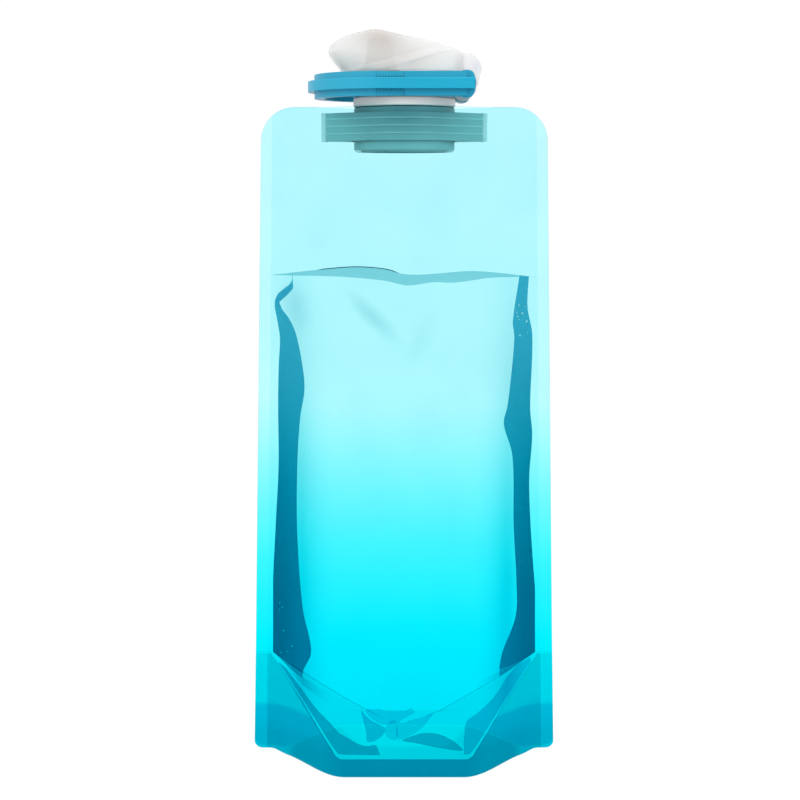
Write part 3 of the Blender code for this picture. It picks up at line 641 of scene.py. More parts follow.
def drawn_wire(name, code):
    """Bright steel wire: metal with fine drawing lines along it, which spread the shine across it."""
    # Real drawing lines are finer than this, and are drawn as coarse as they need to be to show
    line_width = 0.2 * MM
    line_stretch = (1.0, 0.05, 1.0)
    material, tree = new_material(name)
    place = add_node(tree, "ShaderNodeTexCoord").outputs["Object"]
    stretch = add_node(tree, "ShaderNodeMapping", {"Scale": line_stretch}, {"Vector": place})
    lines = add_node(tree, "ShaderNodeTexNoise", {"Scale": 1 / line_width}, {"Vector": stretch})
    rough = add_node(tree, "ShaderNodeMapRange", {"To Min": 0.2, "To Max": 0.4},
                     {"Value": lines.outputs["Fac"]})
    metal = add_node(tree, "ShaderNodeBsdfPrincipled", {"Base Color": hex_colour(code), "Metallic": 1.0},
                     {"Roughness": rough})
    add_node(tree, "ShaderNodeOutputMaterial", links={"Surface": metal})
    return material


# Polyester and polyethylene laminate printed with clear ink: pale aqua at the top, deep cyan at the foot
printed_film = clear_film("printed film laminate", [
    (0.0, "#00f2fb"), (0.12, "#00f3fd"), (0.171, "#24f6fe"), (0.22, "#52f8ff"), (0.313, "#7cfbff"),
    (0.41, "#a9fcff"), (0.503, "#cbfeff"), (0.567, "#dbfeff"), (1.0, "#dffdff"),
], "#f6fdff", None, [
    # Painted shade: a V under the water line and a faint one to its right, a shadow beside the top of the
    # left water wedge, and a faint fold high on the right
    ((-11 * MM, -20 * MM, 166.5 * MM), (4.5 * MM, 9 * MM, 17 * MM), -47.0, 0.3),
    ((6 * MM, -20 * MM, 160 * MM), (6 * MM, 9 * MM, 16 * MM), 25.0, 0.1),
    ((-39 * MM, -8 * MM, 169 * MM), (9 * MM, 14 * MM, 13 * MM), -30.0, 0.24),
    ((14 * MM, -18 * MM, 200 * MM), (14 * MM, 12 * MM, 28 * MM), 25.0, 0.06),
])
# The unprinted face and the cut edge of the film, which have no colour
bare_face = clear_tint("bare side of the film", "#ffffff")
# The same laminate in the front leg of the foot, darker towards its bottom edge. It also carries the tint of
# the back leg, which is drawn in the plain foot film, and its flat middle is darker still with painted shade
# that stands for the shadow under the foot.
gusset_film = clear_film("foot film laminate", [
    (0.0, "#7cc8da"), (0.034, "#7cc8da"), (0.059, "#7cd1e3"), (0.077, "#7cd1e3"), (0.084, "#7ceff1"),
    (1.0, "#7ceff1"),
], "#ffe8ea", [(0.0, "#7cbcd2"), (1.0, "#7cbcd2")], [])
# The rest of the foot film, where it is plain, and its folds and crumpled facets in three darker tints:
# partly film that lies double or threefold, and partly painted shade, as each fold and facet is given the
# tint that matches how light or dark it looks, so the left pleat is darker than the right.
floor_film = clear_tint("foot film, single", "#c8faf9")
loose_fold_and_shade = clear_tint("foot film, loose fold", "#c8e4f0")
double_fold_and_shade = clear_tint("foot film, double fold", "#c8d2e3")
triple_fold_and_shade = clear_tint("foot film, triple fold", "#c8c4d4")
# Sharp folds and the drawn-up rim of the water, tinted dark as painted shade for how they look seen edge on
fold_line = clear_tint("folded edge of the film", "#9fdde6")
meniscus = clear_tint("meniscus", "#4c9aa8")
# Clear water, with hardly any colour of its own in the middle; the blue it takes on towards the sides is
# painted shade, for the light that the curved pouch bends away there
clear_water = deepening_water("clear water", [(0.0, "#feffff")], [
    (0.336, "#59eef3"), (0.56, "#cff2f5"), (0.84, "#eef7f8"), (1.0, "#f6fcfd"),
], near=24 * MM, far=38 * MM, ease=2.2, clear_again=45 * MM)
# The wedge of water along each side seal bends the light away, so it looks deep teal; that deep teal is
# painted shade
water_wedge = deepening_water("water at the side seals", [(0.392, "#06b7c9"), (0.924, "#8ed2e0")], [
    (0.336, "#00aabd"), (0.56, "#38b6c8"), (0.924, "#8ed2e0"),
], near=38 * MM, far=46 * MM, ease=1.0)
# The water's top, seen almost edge on, mirrors the darker film: its tint is a painted reflection of it
water_top = clear_tint("water surface", "#b0d8de")
# Small bubbles that cling to the film: bright, because they throw the light back; their near-white is a
# painted reflection
air_bubble = moulded_plastic("air bubble", "#f4ffff", "#e4fbff", roughness=0.1, grain=0.0, clear_share=0.2)
# Natural polyethylene moulding under the film: matt, and painted teal-grey, which stands for the blue light
# that reaches it through the film and the shade on its backlit face. A painted shadow of the cap makes it
# darkest at the middle under the cap.
CAP_SHADOW_CENTRE = (0.0, 0.0, 235 * MM)
CAP_SHADOW_REACH = (28 * MM, 200 * MM, 17 * MM)
natural_polyethylene = moulded_plastic(
    "natural polyethylene", "#8ab3b2", "#7ea8a8", roughness=0.45, grain=0.15,
    painted_patches=[(CAP_SHADOW_CENTRE, CAP_SHADOW_REACH, "#577a7e", 1.0)],
)
# The weld ridges, where the film is pressed on thinly and the moulding shines through paler. They carry
# the same painted shadow of the cap.
weld_ridge = moulded_plastic("natural polyethylene ridge", "#9cc6c5", "#92bdbd", roughness=0.35, grain=0.1,
                             painted_patches=[(CAP_SHADOW_CENTRE, CAP_SHADOW_REACH, "#74979a", 1.0)])
# The fins at the boat's ends and the tube's rim are so thin that they are almost clear
thin_polyethylene = moulded_plastic(
    "thin natural polyethylene", "#b4d8d8", "#a6cccd", roughness=0.4, grain=0.1, clear_share=0.55,
)
# Opaque white moulding with a faint warm cast and a satin surface
white_polypropylene = moulded_plastic("white polypropylene", "#e8e4e2", "#dedad8", roughness=0.4, grain=0.2)
# Dyed moulding: blue with a satin surface and softly shining edges. Its paler left end, towards the carry
# eye, is painted light; the pale line along the flange's top edge is a painted highlight, and the rims above
# and below the flange are painted a little darker as shade.
blue_polypropylene = moulded_plastic(
    "blue polypropylene", "#069dbf", "#0594b6", roughness=0.38, grain=0.25,
    painted_patches=[((-30 * MM, -8 * MM, 244 * MM), (34 * MM, 60 * MM, 30 * MM), "#46b6d4", 0.4)],
    layers=[(238 * MM, "#0695b9"), (FLANGE_BOTTOM, "#069fc2"), (FLANGE_TOP - FLANGE_EDGE, "#2cb8d6"),
            (FLANGE_TOP, "#259bb6"), (248 * MM, "#259bb6")],
)
# Undyed moulding: milky, and partly clear. A grey patch in the middle and a cream-grey spot over the hump are
# painted shade: they stand for the mouthpiece, and its shade, seen through the lid. The strap is greyer and
# cooler.
milky_polypropylene = moulded_plastic(
    "milky polypropylene", "#fbf9f6", "#f5f3f0", roughness=0.35, grain=0.1, clear_share=0.55,
    painted_patches=[((-3 * MM, 0.0, 253 * MM), (18 * MM, 200 * MM, 10 * MM), "#dedcda", 1.0),
             ((25 * MM, 0.0, 250 * MM), (6 * MM, 200 * MM, 9 * MM), "#dcdce4", 1.0),
             ((SPOUT_X + 0.5 * MM, 0.0, 260.5 * MM), (14 * MM, 42 * MM, 9 * MM), "#8f8072", 0.6)],
)
# Soft matt silicone, cream-coloured
cream_silicone = moulded_plastic("cream silicone", "#d6ccbf", "#cabfb2", roughness=0.55, grain=0.1)
# Drawn steel wire, bright and a little streaky
drawn_steel = drawn_wire("drawn steel", "#b4b6b8")


# Pouch

def film_columns():
    """Shares of the inner half width, with steps past 1 across each side seal."""
    inner = steps_between(-1, 1, PANEL_COLUMNS)
    seal = [1 + math.sin(math.pi / 2 * step / SEAL_COLUMNS) for step in range(1, SEAL_COLUMNS + 1)]
    return [-share for share in reversed(seal)] + inner + seal


def column_x(column, z):
    """The place of a column at a height."""
    edge = outer_half_width(z)
    inner = min(inner_half_width(z), edge - FILM)
    if abs(column) <= 1:
        return column * inner
    return math.copysign(mix(inner, edge, abs(column) - 1), column)


def film_rows():
    """Heights of the film's rows, closer at the foot and at the rounded top corners."""
    rows = steps_between(0, FOOT_BLEND, FOOT_ROWS)
    rows += steps_between(FOOT_BLEND, POUCH_HEIGHT - TOP_CORNER_RADIUS, BODY_ROWS)[1:]
    for step in range(1, CORNER_ROWS + 1):
        rows.append(POUCH_HEIGHT - TOP_CORNER_RADIUS * (1 - math.sin(math.pi / 2 * step / CORNER_ROWS)))
    return rows


def film_panel(name, side):
    """One printed panel, at the front (-1) or the back (1). The panels meet along the sealed edges."""
    loops = []
    rows = film_rows()
    for row in rows:
        loop = []
        for column in film_columns():
            x = column_x(column, row)
            z = row + base_edge_lift(x) * max(0.0, 1 - row / FOOT_BLEND)
            depth = film_depth(x, z)
            if depth < SEALED and (abs(column) == 2 or row == rows[-1]):
                depth = 0.0
            loop.append(Vector((x, side * depth, z)))
        loops.append(loop)
    panel = skin_loops(name, loops, printed_film, closed=False, capped=False)
    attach(panel, "pouch")
    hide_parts(name.replace("printed_", "") + "_film")
    give_thickness(panel)


def floor_spot(x, row, lift=0.0):
    """A point of the foot film: row is -1 at the front weld, 0 at the fold and 1 at the back weld.

    Rows past 1 run down the leg that is welded to the panel, which it meets at the bottom edge.
    """
    top = weld_height(x)
    if abs(row) > 1:
        z = mix(top, base_edge_lift(x), abs(row) - 1)
        depth = mix(leg_depth(x, z), film_depth(x, z) - FILM / 10, abs(row) - 1)
        return Vector((x, math.copysign(depth - lift, row), z))
    rise = (crease_height(x) - top) * (1 - abs(row)) ** GUSSET_SAG
    return Vector((x, row * leg_depth(x, top), top + rise + lift))


def gusset_point(column, row):
    """A point of the foot film on a column that follows the side seals."""
    x = column_x(column, GUSSET_HEIGHT)
    if abs(row) > 1:
        x = column_x(column, mix(weld_height(x), base_edge_lift(x), abs(row) - 1))
    return floor_spot(x, row)


def foot_film():
    """The folded bottom film: up inside the front panel, over the middle fold, down at the back."""
    rows = steps_between(-2, 2, GUSSET_ROWS)
    loops = [[gusset_point(column, row) for column in film_columns()] for row in rows]
    film = skin_loops("foot_film", loops, gusset_film, closed=False, capped=False)
    film.data.materials.append(floor_film)
    for number, face in enumerate(film.data.polygons):
        if rows[number // (len(loops[0]) - 1)] >= -1:
            face.material_index = 1
    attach(film, "pouch")
    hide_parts("gusset_film")
    give_thickness(film)


film_panel("printed_front", -1)
film_panel("printed_back", 1)
foot_film()

# Water inside the pouch. Near the side seals it forms a wedge, with wavy edges, that looks dark. Each edge
# is given as (height, place across) in millimetres.
LEFT_INNER = [(36, -37.0), (44, -33.6), (60, -36.6), (88, -38.3), (113, -37.9), (130, -36.6), (140, -34.9),
              (149, -35.7), (159, -37.8), (164, -40.2), (167.3, -43.0), (169.3, -44.2), (171.7, -41.8),
              (174.7, -38.7), (176.2, -38.9), (177, -39.0)]
LEFT_OUTER = [(40, -48.6), (64, -48.3), (90, -46.6), (111, -45.2), (134, -45.0), (148, -44.5), (157, -43.9),
              (163, -44.8), (169.5, -45.8), (173.4, -43.9), (176.2, -39.6), (177, -39.1)]
RIGHT_INNER = [(38, 34.6), (44, 35.8), (56, 40.6), (69, 40.7), (90, 39.3), (116, 38.4), (128, 35.0),
               (134, 36.4), (158, 38.6), (163, 37.9), (179, 40.3)]
RIGHT_OUTER = [(44, 49.0), (59, 48.6), (75, 47.1), (92, 45.7), (107, 45.1), (122, 46.0), (132, 45.0),
               (158, 45.4), (168, 43.4), (179, 43.8)]
# Height of the water line along the front film and the back film, as (place across, height) in millimetres
FRONT_LINE = [(-46, 179.0), (-22, 179.4), (-7, 178.6), (1, 177.0), (10, 178.0), (17, 177.6), (30, 178.7),
              (46, 178.5)]
BACK_LINE = [(-46, 179.1), (-20, 180.9), (-7, 179.8), (0, 177.8), (8, 177.8), (26, 179.6), (46, 178.3)]


def water_edge(z):
    """Half the water's width at a height, a little inside the side seals."""
    return inner_half_width(z) - WATER_MARGIN


def wedge_edges(z):
    """The five zones across the water at a height: margin, left wedge, middle, right wedge, margin."""
    edge = water_edge(z)
    left = min(in_metres(LEFT_INNER, z), -edge / 2)
    right = max(in_metres(RIGHT_INNER, z), edge / 2)
    left_outer = max(in_metres(LEFT_OUTER, z), -edge + WATER_CLEARANCE)
    right_outer = min(in_metres(RIGHT_OUTER, z), edge - WATER_CLEARANCE)
    return [-edge, min(left_outer, left), left, right, max(right_outer, right), edge]


def water_place(zone, share, z, side):
    """Place across the water in a zone; at the back the edges move so that they line up from the front."""
    rounds = 3
    edges = wedge_edges(z)
    x = mix(edges[zone], edges[zone + 1], share)
    if side < 0:
        return x
    for _ in range(rounds):
        near = film_depth(x, z)
        seen = wedge_edges(z + (EYE_HEIGHT - z) * 2 * near / EYE_DISTANCE)
        x = mix(seen[zone], seen[zone + 1], share) * (1 + 2 * near / EYE_DISTANCE)
    return max(edges[0], min(edges[-1], x))


def water_side(x, z):
    """Distance from the middle plane to the water's front or back."""
    return max(film_depth(x, z) - FILM / 2 - WATER_CLEARANCE, WATER_CLEARANCE)


def water_body():
    """The water: one closed mesh between the panels, the foot film and the level surface."""
    zone_steps = [2, 5, 44, 5, 2]
    wedge_zones = (1, 3)
    low_steps = 6
    high_steps = 60
    across = 12
    loops = []
    wedge_columns = []
    for zone, count in enumerate(zone_steps):
        for step in range(count + (zone == len(zone_steps) - 1)):
            share = step / count
            sides = []
            for side, line in ((-1, FRONT_LINE), (1, BACK_LINE)):
                x = water_place(zone, share, GUSSET_HEIGHT, side)
                low = weld_height(x) + 2 * WATER_CLEARANCE
                fold = max(low, crease_height(x) - side * EYE_SLOPE * film_depth(x, GUSSET_HEIGHT))
                top = in_metres(line, water_place(zone, share, WATER_LEVEL, side))
                heights = steps_between(low, fold, low_steps) + steps_between(fold, top, high_steps)[1:]
                column = []
                for z in heights:
                    x = water_place(zone, share, z, side)
                    column.append(Vector((x, side * water_side(x, z), z)))
                sides.append(column)
            front, back = sides
            surface = [front[-1].lerp(back[-1], turn / across) for turn in range(1, across)]
            floor = []
            for turn in range(1, across):
                spot = back[0].lerp(front[0], turn / across)
                up_the_fold = (1 - abs(1 - 2 * turn / across)) ** GUSSET_SAG
                rise = (crease_height(spot.x) - weld_height(spot.x)) * up_the_fold
                floor.append(spot + Vector((0, 0, rise)))
            wedge_columns.append(zone in wedge_zones)
            loops.append(front + surface + list(reversed(back)) + floor)
    water = skin_loops("water", loops, clear_water)
    water.data.materials.append(water_wedge)
    water.data.materials.append(water_top)
    around = len(loops[0])
    tall = low_steps + high_steps
    for number, face in enumerate(water.data.polygons):
        column, place = divmod(number, around)
        if column >= len(loops) - 1:
            continue
        on_front = low_steps <= place < tall
        on_back = tall + across <= place < tall + across + high_steps
        if tall <= place < tall + across:
            face.material_index = 2
        elif wedge_columns[column] and (on_front or on_back):
            face.material_index = 1
    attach(water, "pouch")


def tube_along(name, path, radius, material):
    """A thin round bead along a path, tapered to points at both ends."""
    tip_share = 0.15
    taper_steps = 4
    loops = []
    for number, spot in enumerate(path):
        ahead = path[min(number + 1, len(path) - 1)] - path[max(number - 1, 0)]
        turn = ahead.to_track_quat("Z", "Y")
        taper = min(1.0, tip_share + min(number, len(path) - 1 - number) / taper_steps)
        ring = [turn @ Vector((math.cos(angle), math.sin(angle), 0)) * radius * taper + spot
                for angle in steps_between(0, 2 * math.pi, BEAD_SIDES)[:-1]]
        loops.append(ring)
    return skin_loops(name, loops, material)


def meniscus_bead(name, side, line, start, end, radius):
    """The rim of the water's surface along one film, a bead tinted dark as painted shade."""
    path = []
    for x in steps_between(start, end, BEAD_STEPS):
        z = in_metres(line, x)
        path.append(Vector((x, side * (water_side(x, z) - radius), z)))
    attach(tube_along(name, path, radius, meniscus), "pouch")


def crease_bead(name, start, end, radius, row=0.0):
    """A sharp fold of the foot film: the middle one, or the edge of a weld where row is -1."""
    path = [floor_spot(x, row, radius) for x in steps_between(start, end, BEAD_STEPS)]
    bead = tube_along(name, path, radius, fold_line)
    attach(bead, "pouch")


def pleat(name, start, end, inner_line, material):
    """A fold of the foot film along a corner seal, from just inside the weld to its inner line."""
    weld_edge = -0.93
    steps_along = 30
    steps_in = 6
    loops = []
    for x in steps_between(start, end, steps_along):
        inner = max(through(inner_line, x / MM), weld_edge)
        loops.append([floor_spot(x, row, PLEAT_LIFT) for row in steps_between(weld_edge, inner, steps_in)])
    sheet = skin_loops(name, loops, material, closed=False, capped=False)
    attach(sheet, "pouch")
    give_thickness(sheet)


def smooth_outline(corners, steps=8):
    """A closed smooth curve through corner points."""
    outline = []
    for number in range(len(corners)):
        before, start, end, after = (corners[(number + offset) % len(corners)] for offset in (-1, 0, 1, 2))
        for step in range(steps):
            spot = []
            for axis in (0, 1):
                slope_in = (end[axis] - before[axis]) / 2
                slope_out = (after[axis] - start[axis]) / 2
                spot.append(cubic(start[axis], end[axis], slope_in, slope_out, step / steps))
            outline.append(spot)
    return outline


def tuck(name, corners, material):
    """A crumpled facet that lies against the foot film; its corners are (x in mm, row) points."""
    points = [floor_spot(x * MM, row, TUCK_LIFT) for x, row in smooth_outline(corners)]
    facet = mesh_object(name, points, [tuple(range(len(points)))], material)
    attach(facet, "pouch")
    give_thickness(facet)


def bubbles(name, count, low, high, seed):
    """Small air bubbles on the inside of the front film, scattered between two (x, z) corners."""
    chance = random.Random(seed)
    cluster = bmesh.new()
    for _ in range(count):
        x = chance.uniform(low[0], high[0])
        z = chance.uniform(low[1], high[1])
        radius = chance.uniform(*BUBBLE_RADII_IN_MM) * MM
        spot = Matrix.Translation((x, -water_side(x, z) - WATER_CLEARANCE / 2, z))
        bmesh.ops.create_icosphere(cluster, subdivisions=2, radius=radius, matrix=spot)
    item = object_from(cluster, name, [air_bubble])
    item.data.shade_smooth()
    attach(item, "pouch")


water_body()
meniscus_bead("meniscus", 1, BACK_LINE, -31 * MM, -2 * MM, radius=0.16 * MM)
crease_bead("crease_left", -43 * MM, -8 * MM, radius=0.09 * MM)
crease_bead("crease_right", 8 * MM, 43 * MM, radius=0.09 * MM)
crease_bead("weld_fold_left", -48 * MM, -25 * MM, radius=0.13 * MM, row=-1.0)
crease_bead("weld_fold_right", 25 * MM, 48 * MM, radius=0.13 * MM, row=-1.0)
pleat("pleat_left", -46.5 * MM, -8.8 * MM,
      [(-46.5, -0.7), (-44, -0.52), (-41.1, -0.58), (-33.8, -0.64), (-26.6, -0.57), (-22, -0.6),
       (-16.6, -0.71), (-13, -0.73), (-10.2, -0.69), (-8.8, -0.9)], triple_fold_and_shade)
pleat("pleat_right", 21.6 * MM, 47 * MM,
      [(21.6, -0.75), (22.7, -0.41), (26.9, -0.4), (34.1, -0.42), (39.3, -0.2), (43, -0.1), (47, -0.3)],
      double_fold_and_shade)
tuck("tuck_left", [(-15.9, -0.1), (-12.8, -0.18), (-7.0, -0.26), (-9.1, -0.52), (-13.3, -0.64),
                   (-14.1, -0.42)], double_fold_and_shade)
tuck("tuck_middle", [(-7.0, -0.26), (-3.2, 0.1), (-2.4, -0.43), (-5.6, -0.47)], loose_fold_and_shade)
tuck("tuck_right", [(10.6, 0.05), (-1.3, 0.07), (-2.4, -0.45), (3.6, -0.34), (8.7, -0.16)], loose_fold_and_shade)
tuck("tuck_wave", [(-0.6, -0.46), (5.0, -0.36), (11.4, -0.44), (17.5, -0.64), (21.2, -0.85), (11.9, -0.75),
                   (3.6, -0.57)], triple_fold_and_shade)
tuck("tuck_back", [(-15, 1.03), (-5, 1.03), (4.5, 1.04), (-0.5, 1.6), (-3, 1.85), (-9.5, 1.9)], loose_fold_and_shade)
bubbles("bubbles_right", 14, low=(39 * MM, 158 * MM), high=(44 * MM, 169 * MM), seed=3)
bubbles("bubbles_left", 7, low=(-47 * MM, 40 * MM), high=(-41 * MM, 60 * MM), seed=8)


# Spout fitment

def ridge_share(z):
    """How far a height is on a weld ridge: 1 on its crest, 0 between the ridges."""
    nearest = min(abs(z - (RIDGE_TOP - RIDGE_PITCH * number)) for number in range(RIDGE_COUNT))
    return 1 - smoothstep(0, RIDGE_WIDTH, nearest)


def mark_ridges(item):
    """Give the faces on the ridges the paler material."""
    paler_from = 0.55
    item.data.materials.append(weld_ridge)
    for face in item.data.polygons:
        if ridge_share(face.center.z) > paler_from:
            face.material_index = 1


def weld_wing(name, end):
    """One wing of the boat: from the tube's wall out along the tangents to its blunt end."""
    touch = BOAT_RADIUS ** 2 / BOAT_APEX
    side = math.sqrt(BOAT_RADIUS ** 2 - touch ** 2)
    blunt = boat_half_thickness(WING_HALF_LENGTH, 0.0)
    reach = math.acos(touch / BOAT_RADIUS)
    tangent_steps = 8
    arc_steps = 12
    loops = []
    for z in steps_between(BOAT_BOTTOM, BOAT_TOP, BOAT_ROWS):
        proud = RIDGE_PROUD * ridge_share(z)
        near = [(mix(touch, WING_HALF_LENGTH, share), -mix(side, blunt, share) - proud)
                for share in steps_between(0, 1, tangent_steps)]
        far = [(x, -y) for x, y in reversed(near)]
        inside = [(BOAT_INSIDE * math.cos(turn), BOAT_INSIDE * math.sin(turn))
                  for turn in steps_between(reach, -reach, arc_steps)]
        loops.append([Vector((end * x, y, z)) for x, y in near + far + inside])
    wing = skin_loops(name, loops, natural_polyethylene)
    mark_ridges(wing)
    return wing


def weld_band():
    """The round middle of the boat, with its weld ridges."""
    heights = steps_between(BOAT_BOTTOM, BOAT_TOP, BOAT_ROWS)
    profile = [(BOAT_RADIUS + RIDGE_PROUD * ridge_share(z), z) for z in heights]
    profile += [(BOAT_INSIDE, BOAT_TOP), (BOAT_INSIDE, BOAT_BOTTOM)]
    band = turned("weld_band", profile, natural_polyethylene)
    mark_ridges(band)
    return band


def neck_thread():
    """The screw thread that stands proud of the neck and runs out at both ends."""
    run_out = 0.12
    least_height = 0.05
    root = NECK_RADIUS - LIP_ROUND
    flat = THREAD_HALF_WIDTH / 3
    loops = []
    for share in steps_between(0, 1, THREAD_STEPS):
        turn = 2 * math.pi * THREAD_TURNS * share
        middle = THREAD_START + THREAD_LEAD * THREAD_TURNS * share
        height = smoothstep(0, run_out, share) * smoothstep(0, run_out, 1 - share)
        crest = NECK_RADIUS + THREAD_HEIGHT * max(height, least_height)
        section = [(root, -THREAD_HALF_WIDTH), (crest, -flat), (crest, flat), (root, THREAD_HALF_WIDTH)]
        loops.append([Vector((radius * math.cos(turn), radius * math.sin(turn), middle + rise))
                      for radius, rise in section])
    return skin_loops("neck_thread", loops, natural_polyethylene)


def spout_moulding():
    """Tube, shoulder and threaded neck, with the boat that the film is welded to and its thin end fins."""
    bore = TUBE_RADIUS - TUBE_WALL
    profile = [
        (NECK_RADIUS - TUBE_LIP, NECK_TOP), (NECK_RADIUS, NECK_TOP - TUBE_LIP), (NECK_RADIUS, SHOULDER_Z),
        (TUBE_RADIUS, SHOULDER_Z), (TUBE_RADIUS, TUBE_BOTTOM + TUBE_LIP),
        (TUBE_RADIUS - TUBE_LIP, TUBE_BOTTOM), (bore, TUBE_BOTTOM), (bore, BOAT_TOP),
        (NECK_BORE, BOAT_TOP + TUBE_WALL), (NECK_BORE, NECK_TOP),
    ]
    tube = turned("spout_tube", profile, natural_polyethylene)
    tube.data.materials.append(thin_polyethylene)
    for face in tube.data.polygons:
        face.material_index = int(face.center.z < TUBE_BOTTOM + TUBE_LIP)
    bodies = [tube, weld_band(), neck_thread()]
    for name, end in (("left", -1), ("right", 1)):
        bodies.append(weld_wing("wing_" + name, end))
        ends = sorted((end * FIN_ROOT, end * FIN_HALF_LENGTH))
        low = BOAT_BOTTOM - FIN_OVERHANG
        high = BOAT_TOP + FIN_OVERHANG
        outline = [(ends[0], low), (ends[1], low), (ends[1], high), (ends[0], high)]
        bodies.append(plate_along_y("fin_" + name, outline, FIN_THICKNESS / 2, thin_polyethylene))
    moulding = merge("spout_moulding", bodies)
    moulding.data.shade_smooth()
    soft_edges(moulding, LIP_ROUND, segments=2)
    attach(moulding, "pouch")
    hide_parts("spout_fitment")


# Cap, ring and lid

def slim_ears(item):
    """Take the ring's hinge ears in past the pin's eye, so that the lid's strap stands proud of them."""
    start = HINGE_X + EAR_EYE
    for vertex in item.data.vertices:
        if vertex.co.x > start:
            vertex.co.x = mix(start, vertex.co.x, EAR_SHARE)


def softened(node, body, material, width, shape=None):
    """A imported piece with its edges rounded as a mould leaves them, reshaped first where it needs it."""
    same_spot = 0.002 * MM
    flat_turn = math.radians(1)
    item = add_object("moulded_" + node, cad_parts[node].data.copy())
    if shape:
        shape(item)
    item.data.materials.clear()
    item.data.materials.append(material)
    tidy = bmesh.new()
    tidy.from_mesh(item.data)
    bmesh.ops.remove_doubles(tidy, verts=tidy.verts, dist=same_spot)
    bmesh.ops.dissolve_limit(tidy, angle_limit=flat_turn, verts=tidy.verts, edges=tidy.edges)
    tidy.to_mesh(item.data)
    tidy.free()
    item.data.shade_smooth()
    soft_edges(item, width)
    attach(item, body)
    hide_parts(node)


def grip_ribs():
    """Small finger ribs in the ring's grips, above and below the flange, at the front and the back."""
    bodies = []
    pitch = GRIP_LENGTH / (GRIP_RIB_COUNT + 1)
    half = pitch * GRIP_RIB_HALF_SHARE
    face = RING_HALF_DEPTH - GRIP_DEPTH
    above = (FLANGE_TOP, FLANGE_TOP + GRIP_RIB_HEIGHT)
    below = (FLANGE_BOTTOM - GRIP_RIB_HEIGHT, FLANGE_BOTTOM)
    for side in (-1, 1):
        for low, high in (above, below):
            for number in range(GRIP_RIB_COUNT):
                middle = GRIP_X - GRIP_LENGTH / 2 + pitch * (number + 1)
                section = [(middle - half, face - GRIP_DEPTH), (middle + half, face - GRIP_DEPTH),
                           (middle + half, face + 2 * GRIP_DEPTH), (middle - half, face + 2 * GRIP_DEPTH)]
                loops = [[Vector((x, side * y, z)) for x, y in section] for z in (low, high)]
                bodies.append(skin_loops("rib", loops, blue_polypropylene))
    ribs = merge("grip_ribs", bodies)
    soft_edges(ribs, GRIP_RIB_ROUND, segments=2)
    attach(ribs, "cap")


def swept_relief(x, z):
    """The moulded band that sweeps up along the lid's side towards the hinge, and the hollow below it."""
    upper = in_metres(SWEEP_UPPER, x)
    lower = in_metres(SWEEP_LOWER, x)
    over_lower = smoothstep(lower - SWEEP_SOFTNESS, lower + SWEEP_SOFTNESS, z)
    band = over_lower * (1 - smoothstep(upper - SWEEP_SOFTNESS, upper + SWEEP_SOFTNESS, z))
    hollow = (1 - over_lower) * smoothstep(-SWEEP_HOLLOW_EASE, SWEEP_HOLLOW_EASE, x)
    return SWEEP_PROUD * band - SWEEP_HOLLOW * hollow


def dome_rings(inset, bottom, relief):
    """Loops up the lid's side and in over its crown, set in from its outside."""
    quarter_steps = 40
    side_rows = 44
    crown_rows = 18
    innermost = 0.03
    at_the_turn = 1e-9
    hinge_end = [math.acos(share ** (1 / LID_END_SQUARENESS))
                 for share in steps_between(1, 0, quarter_steps)]
    lip_end = steps_between(math.pi / 2, 3 * math.pi / 2, 2 * quarter_steps)[1:-1]
    around = hinge_end + lip_end + [2 * math.pi - turn for turn in reversed(hinge_end[1:])]
    heights = [(tilt, 1.0) for tilt in steps_between(0, LID_SHOULDER_TILT, side_rows)]
    heights += [(LID_SHOULDER_TILT, share) for share in steps_between(1, innermost, crown_rows)[1:]]
    loops = []
    for tilt, share in heights:
        loop = []
        tall = 1 - (1 - math.sin(tilt) ** LID_RISE_POWER) * share ** 2
        for turn in around:
            across = math.cos(turn)
            if across > at_the_turn:
                flat = math.cos(tilt) ** mix(LID_SIDE_POWER, LID_END_POWER, across)
                reach = (LID_HALF_LENGTH - inset) * math.cos(tilt) ** LID_END_POWER
                reach *= across ** LID_END_SQUARENESS
            else:
                flat = math.cos(tilt) ** LID_SIDE_POWER
                reach = (through(LIP_LINE, tall) * MM - inset) * across
            x = LID_CENTRE_X + reach * share
            y = (LID_HALF_DEPTH - inset) * math.sin(turn) * flat * share
            z = mix(bottom, in_metres(CROWN_LINE, x) - inset, tall)
            if relief and share == 1.0:
                y += swept_relief(x, z) * math.sin(turn)
            loop.append(Vector((x, y, z)))
        loops.append(loop)
    return loops


def tail_outline():
    """Side view of the strap that joins the lid to its knuckle, as (x, z) points."""
    corner_steps = 16
    left = LID_RIGHT - TAIL_ROOT
    top = in_metres(CROWN_LINE, LID_RIGHT) - LID_WALL / 2
    corner = [(HINGE_X + TAIL_REACH * math.sin(turn), top - TAIL_REACH * (1 - math.cos(turn)))
              for turn in steps_between(0, math.pi / 2, corner_steps)]
    at_the_hinge = [(HINGE_X + KNUCKLE_RADIUS, HINGE_Z), (HINGE_X, HINGE_Z)]
    return [(left, LID_BOTTOM), (left, top)] + corner + at_the_hinge


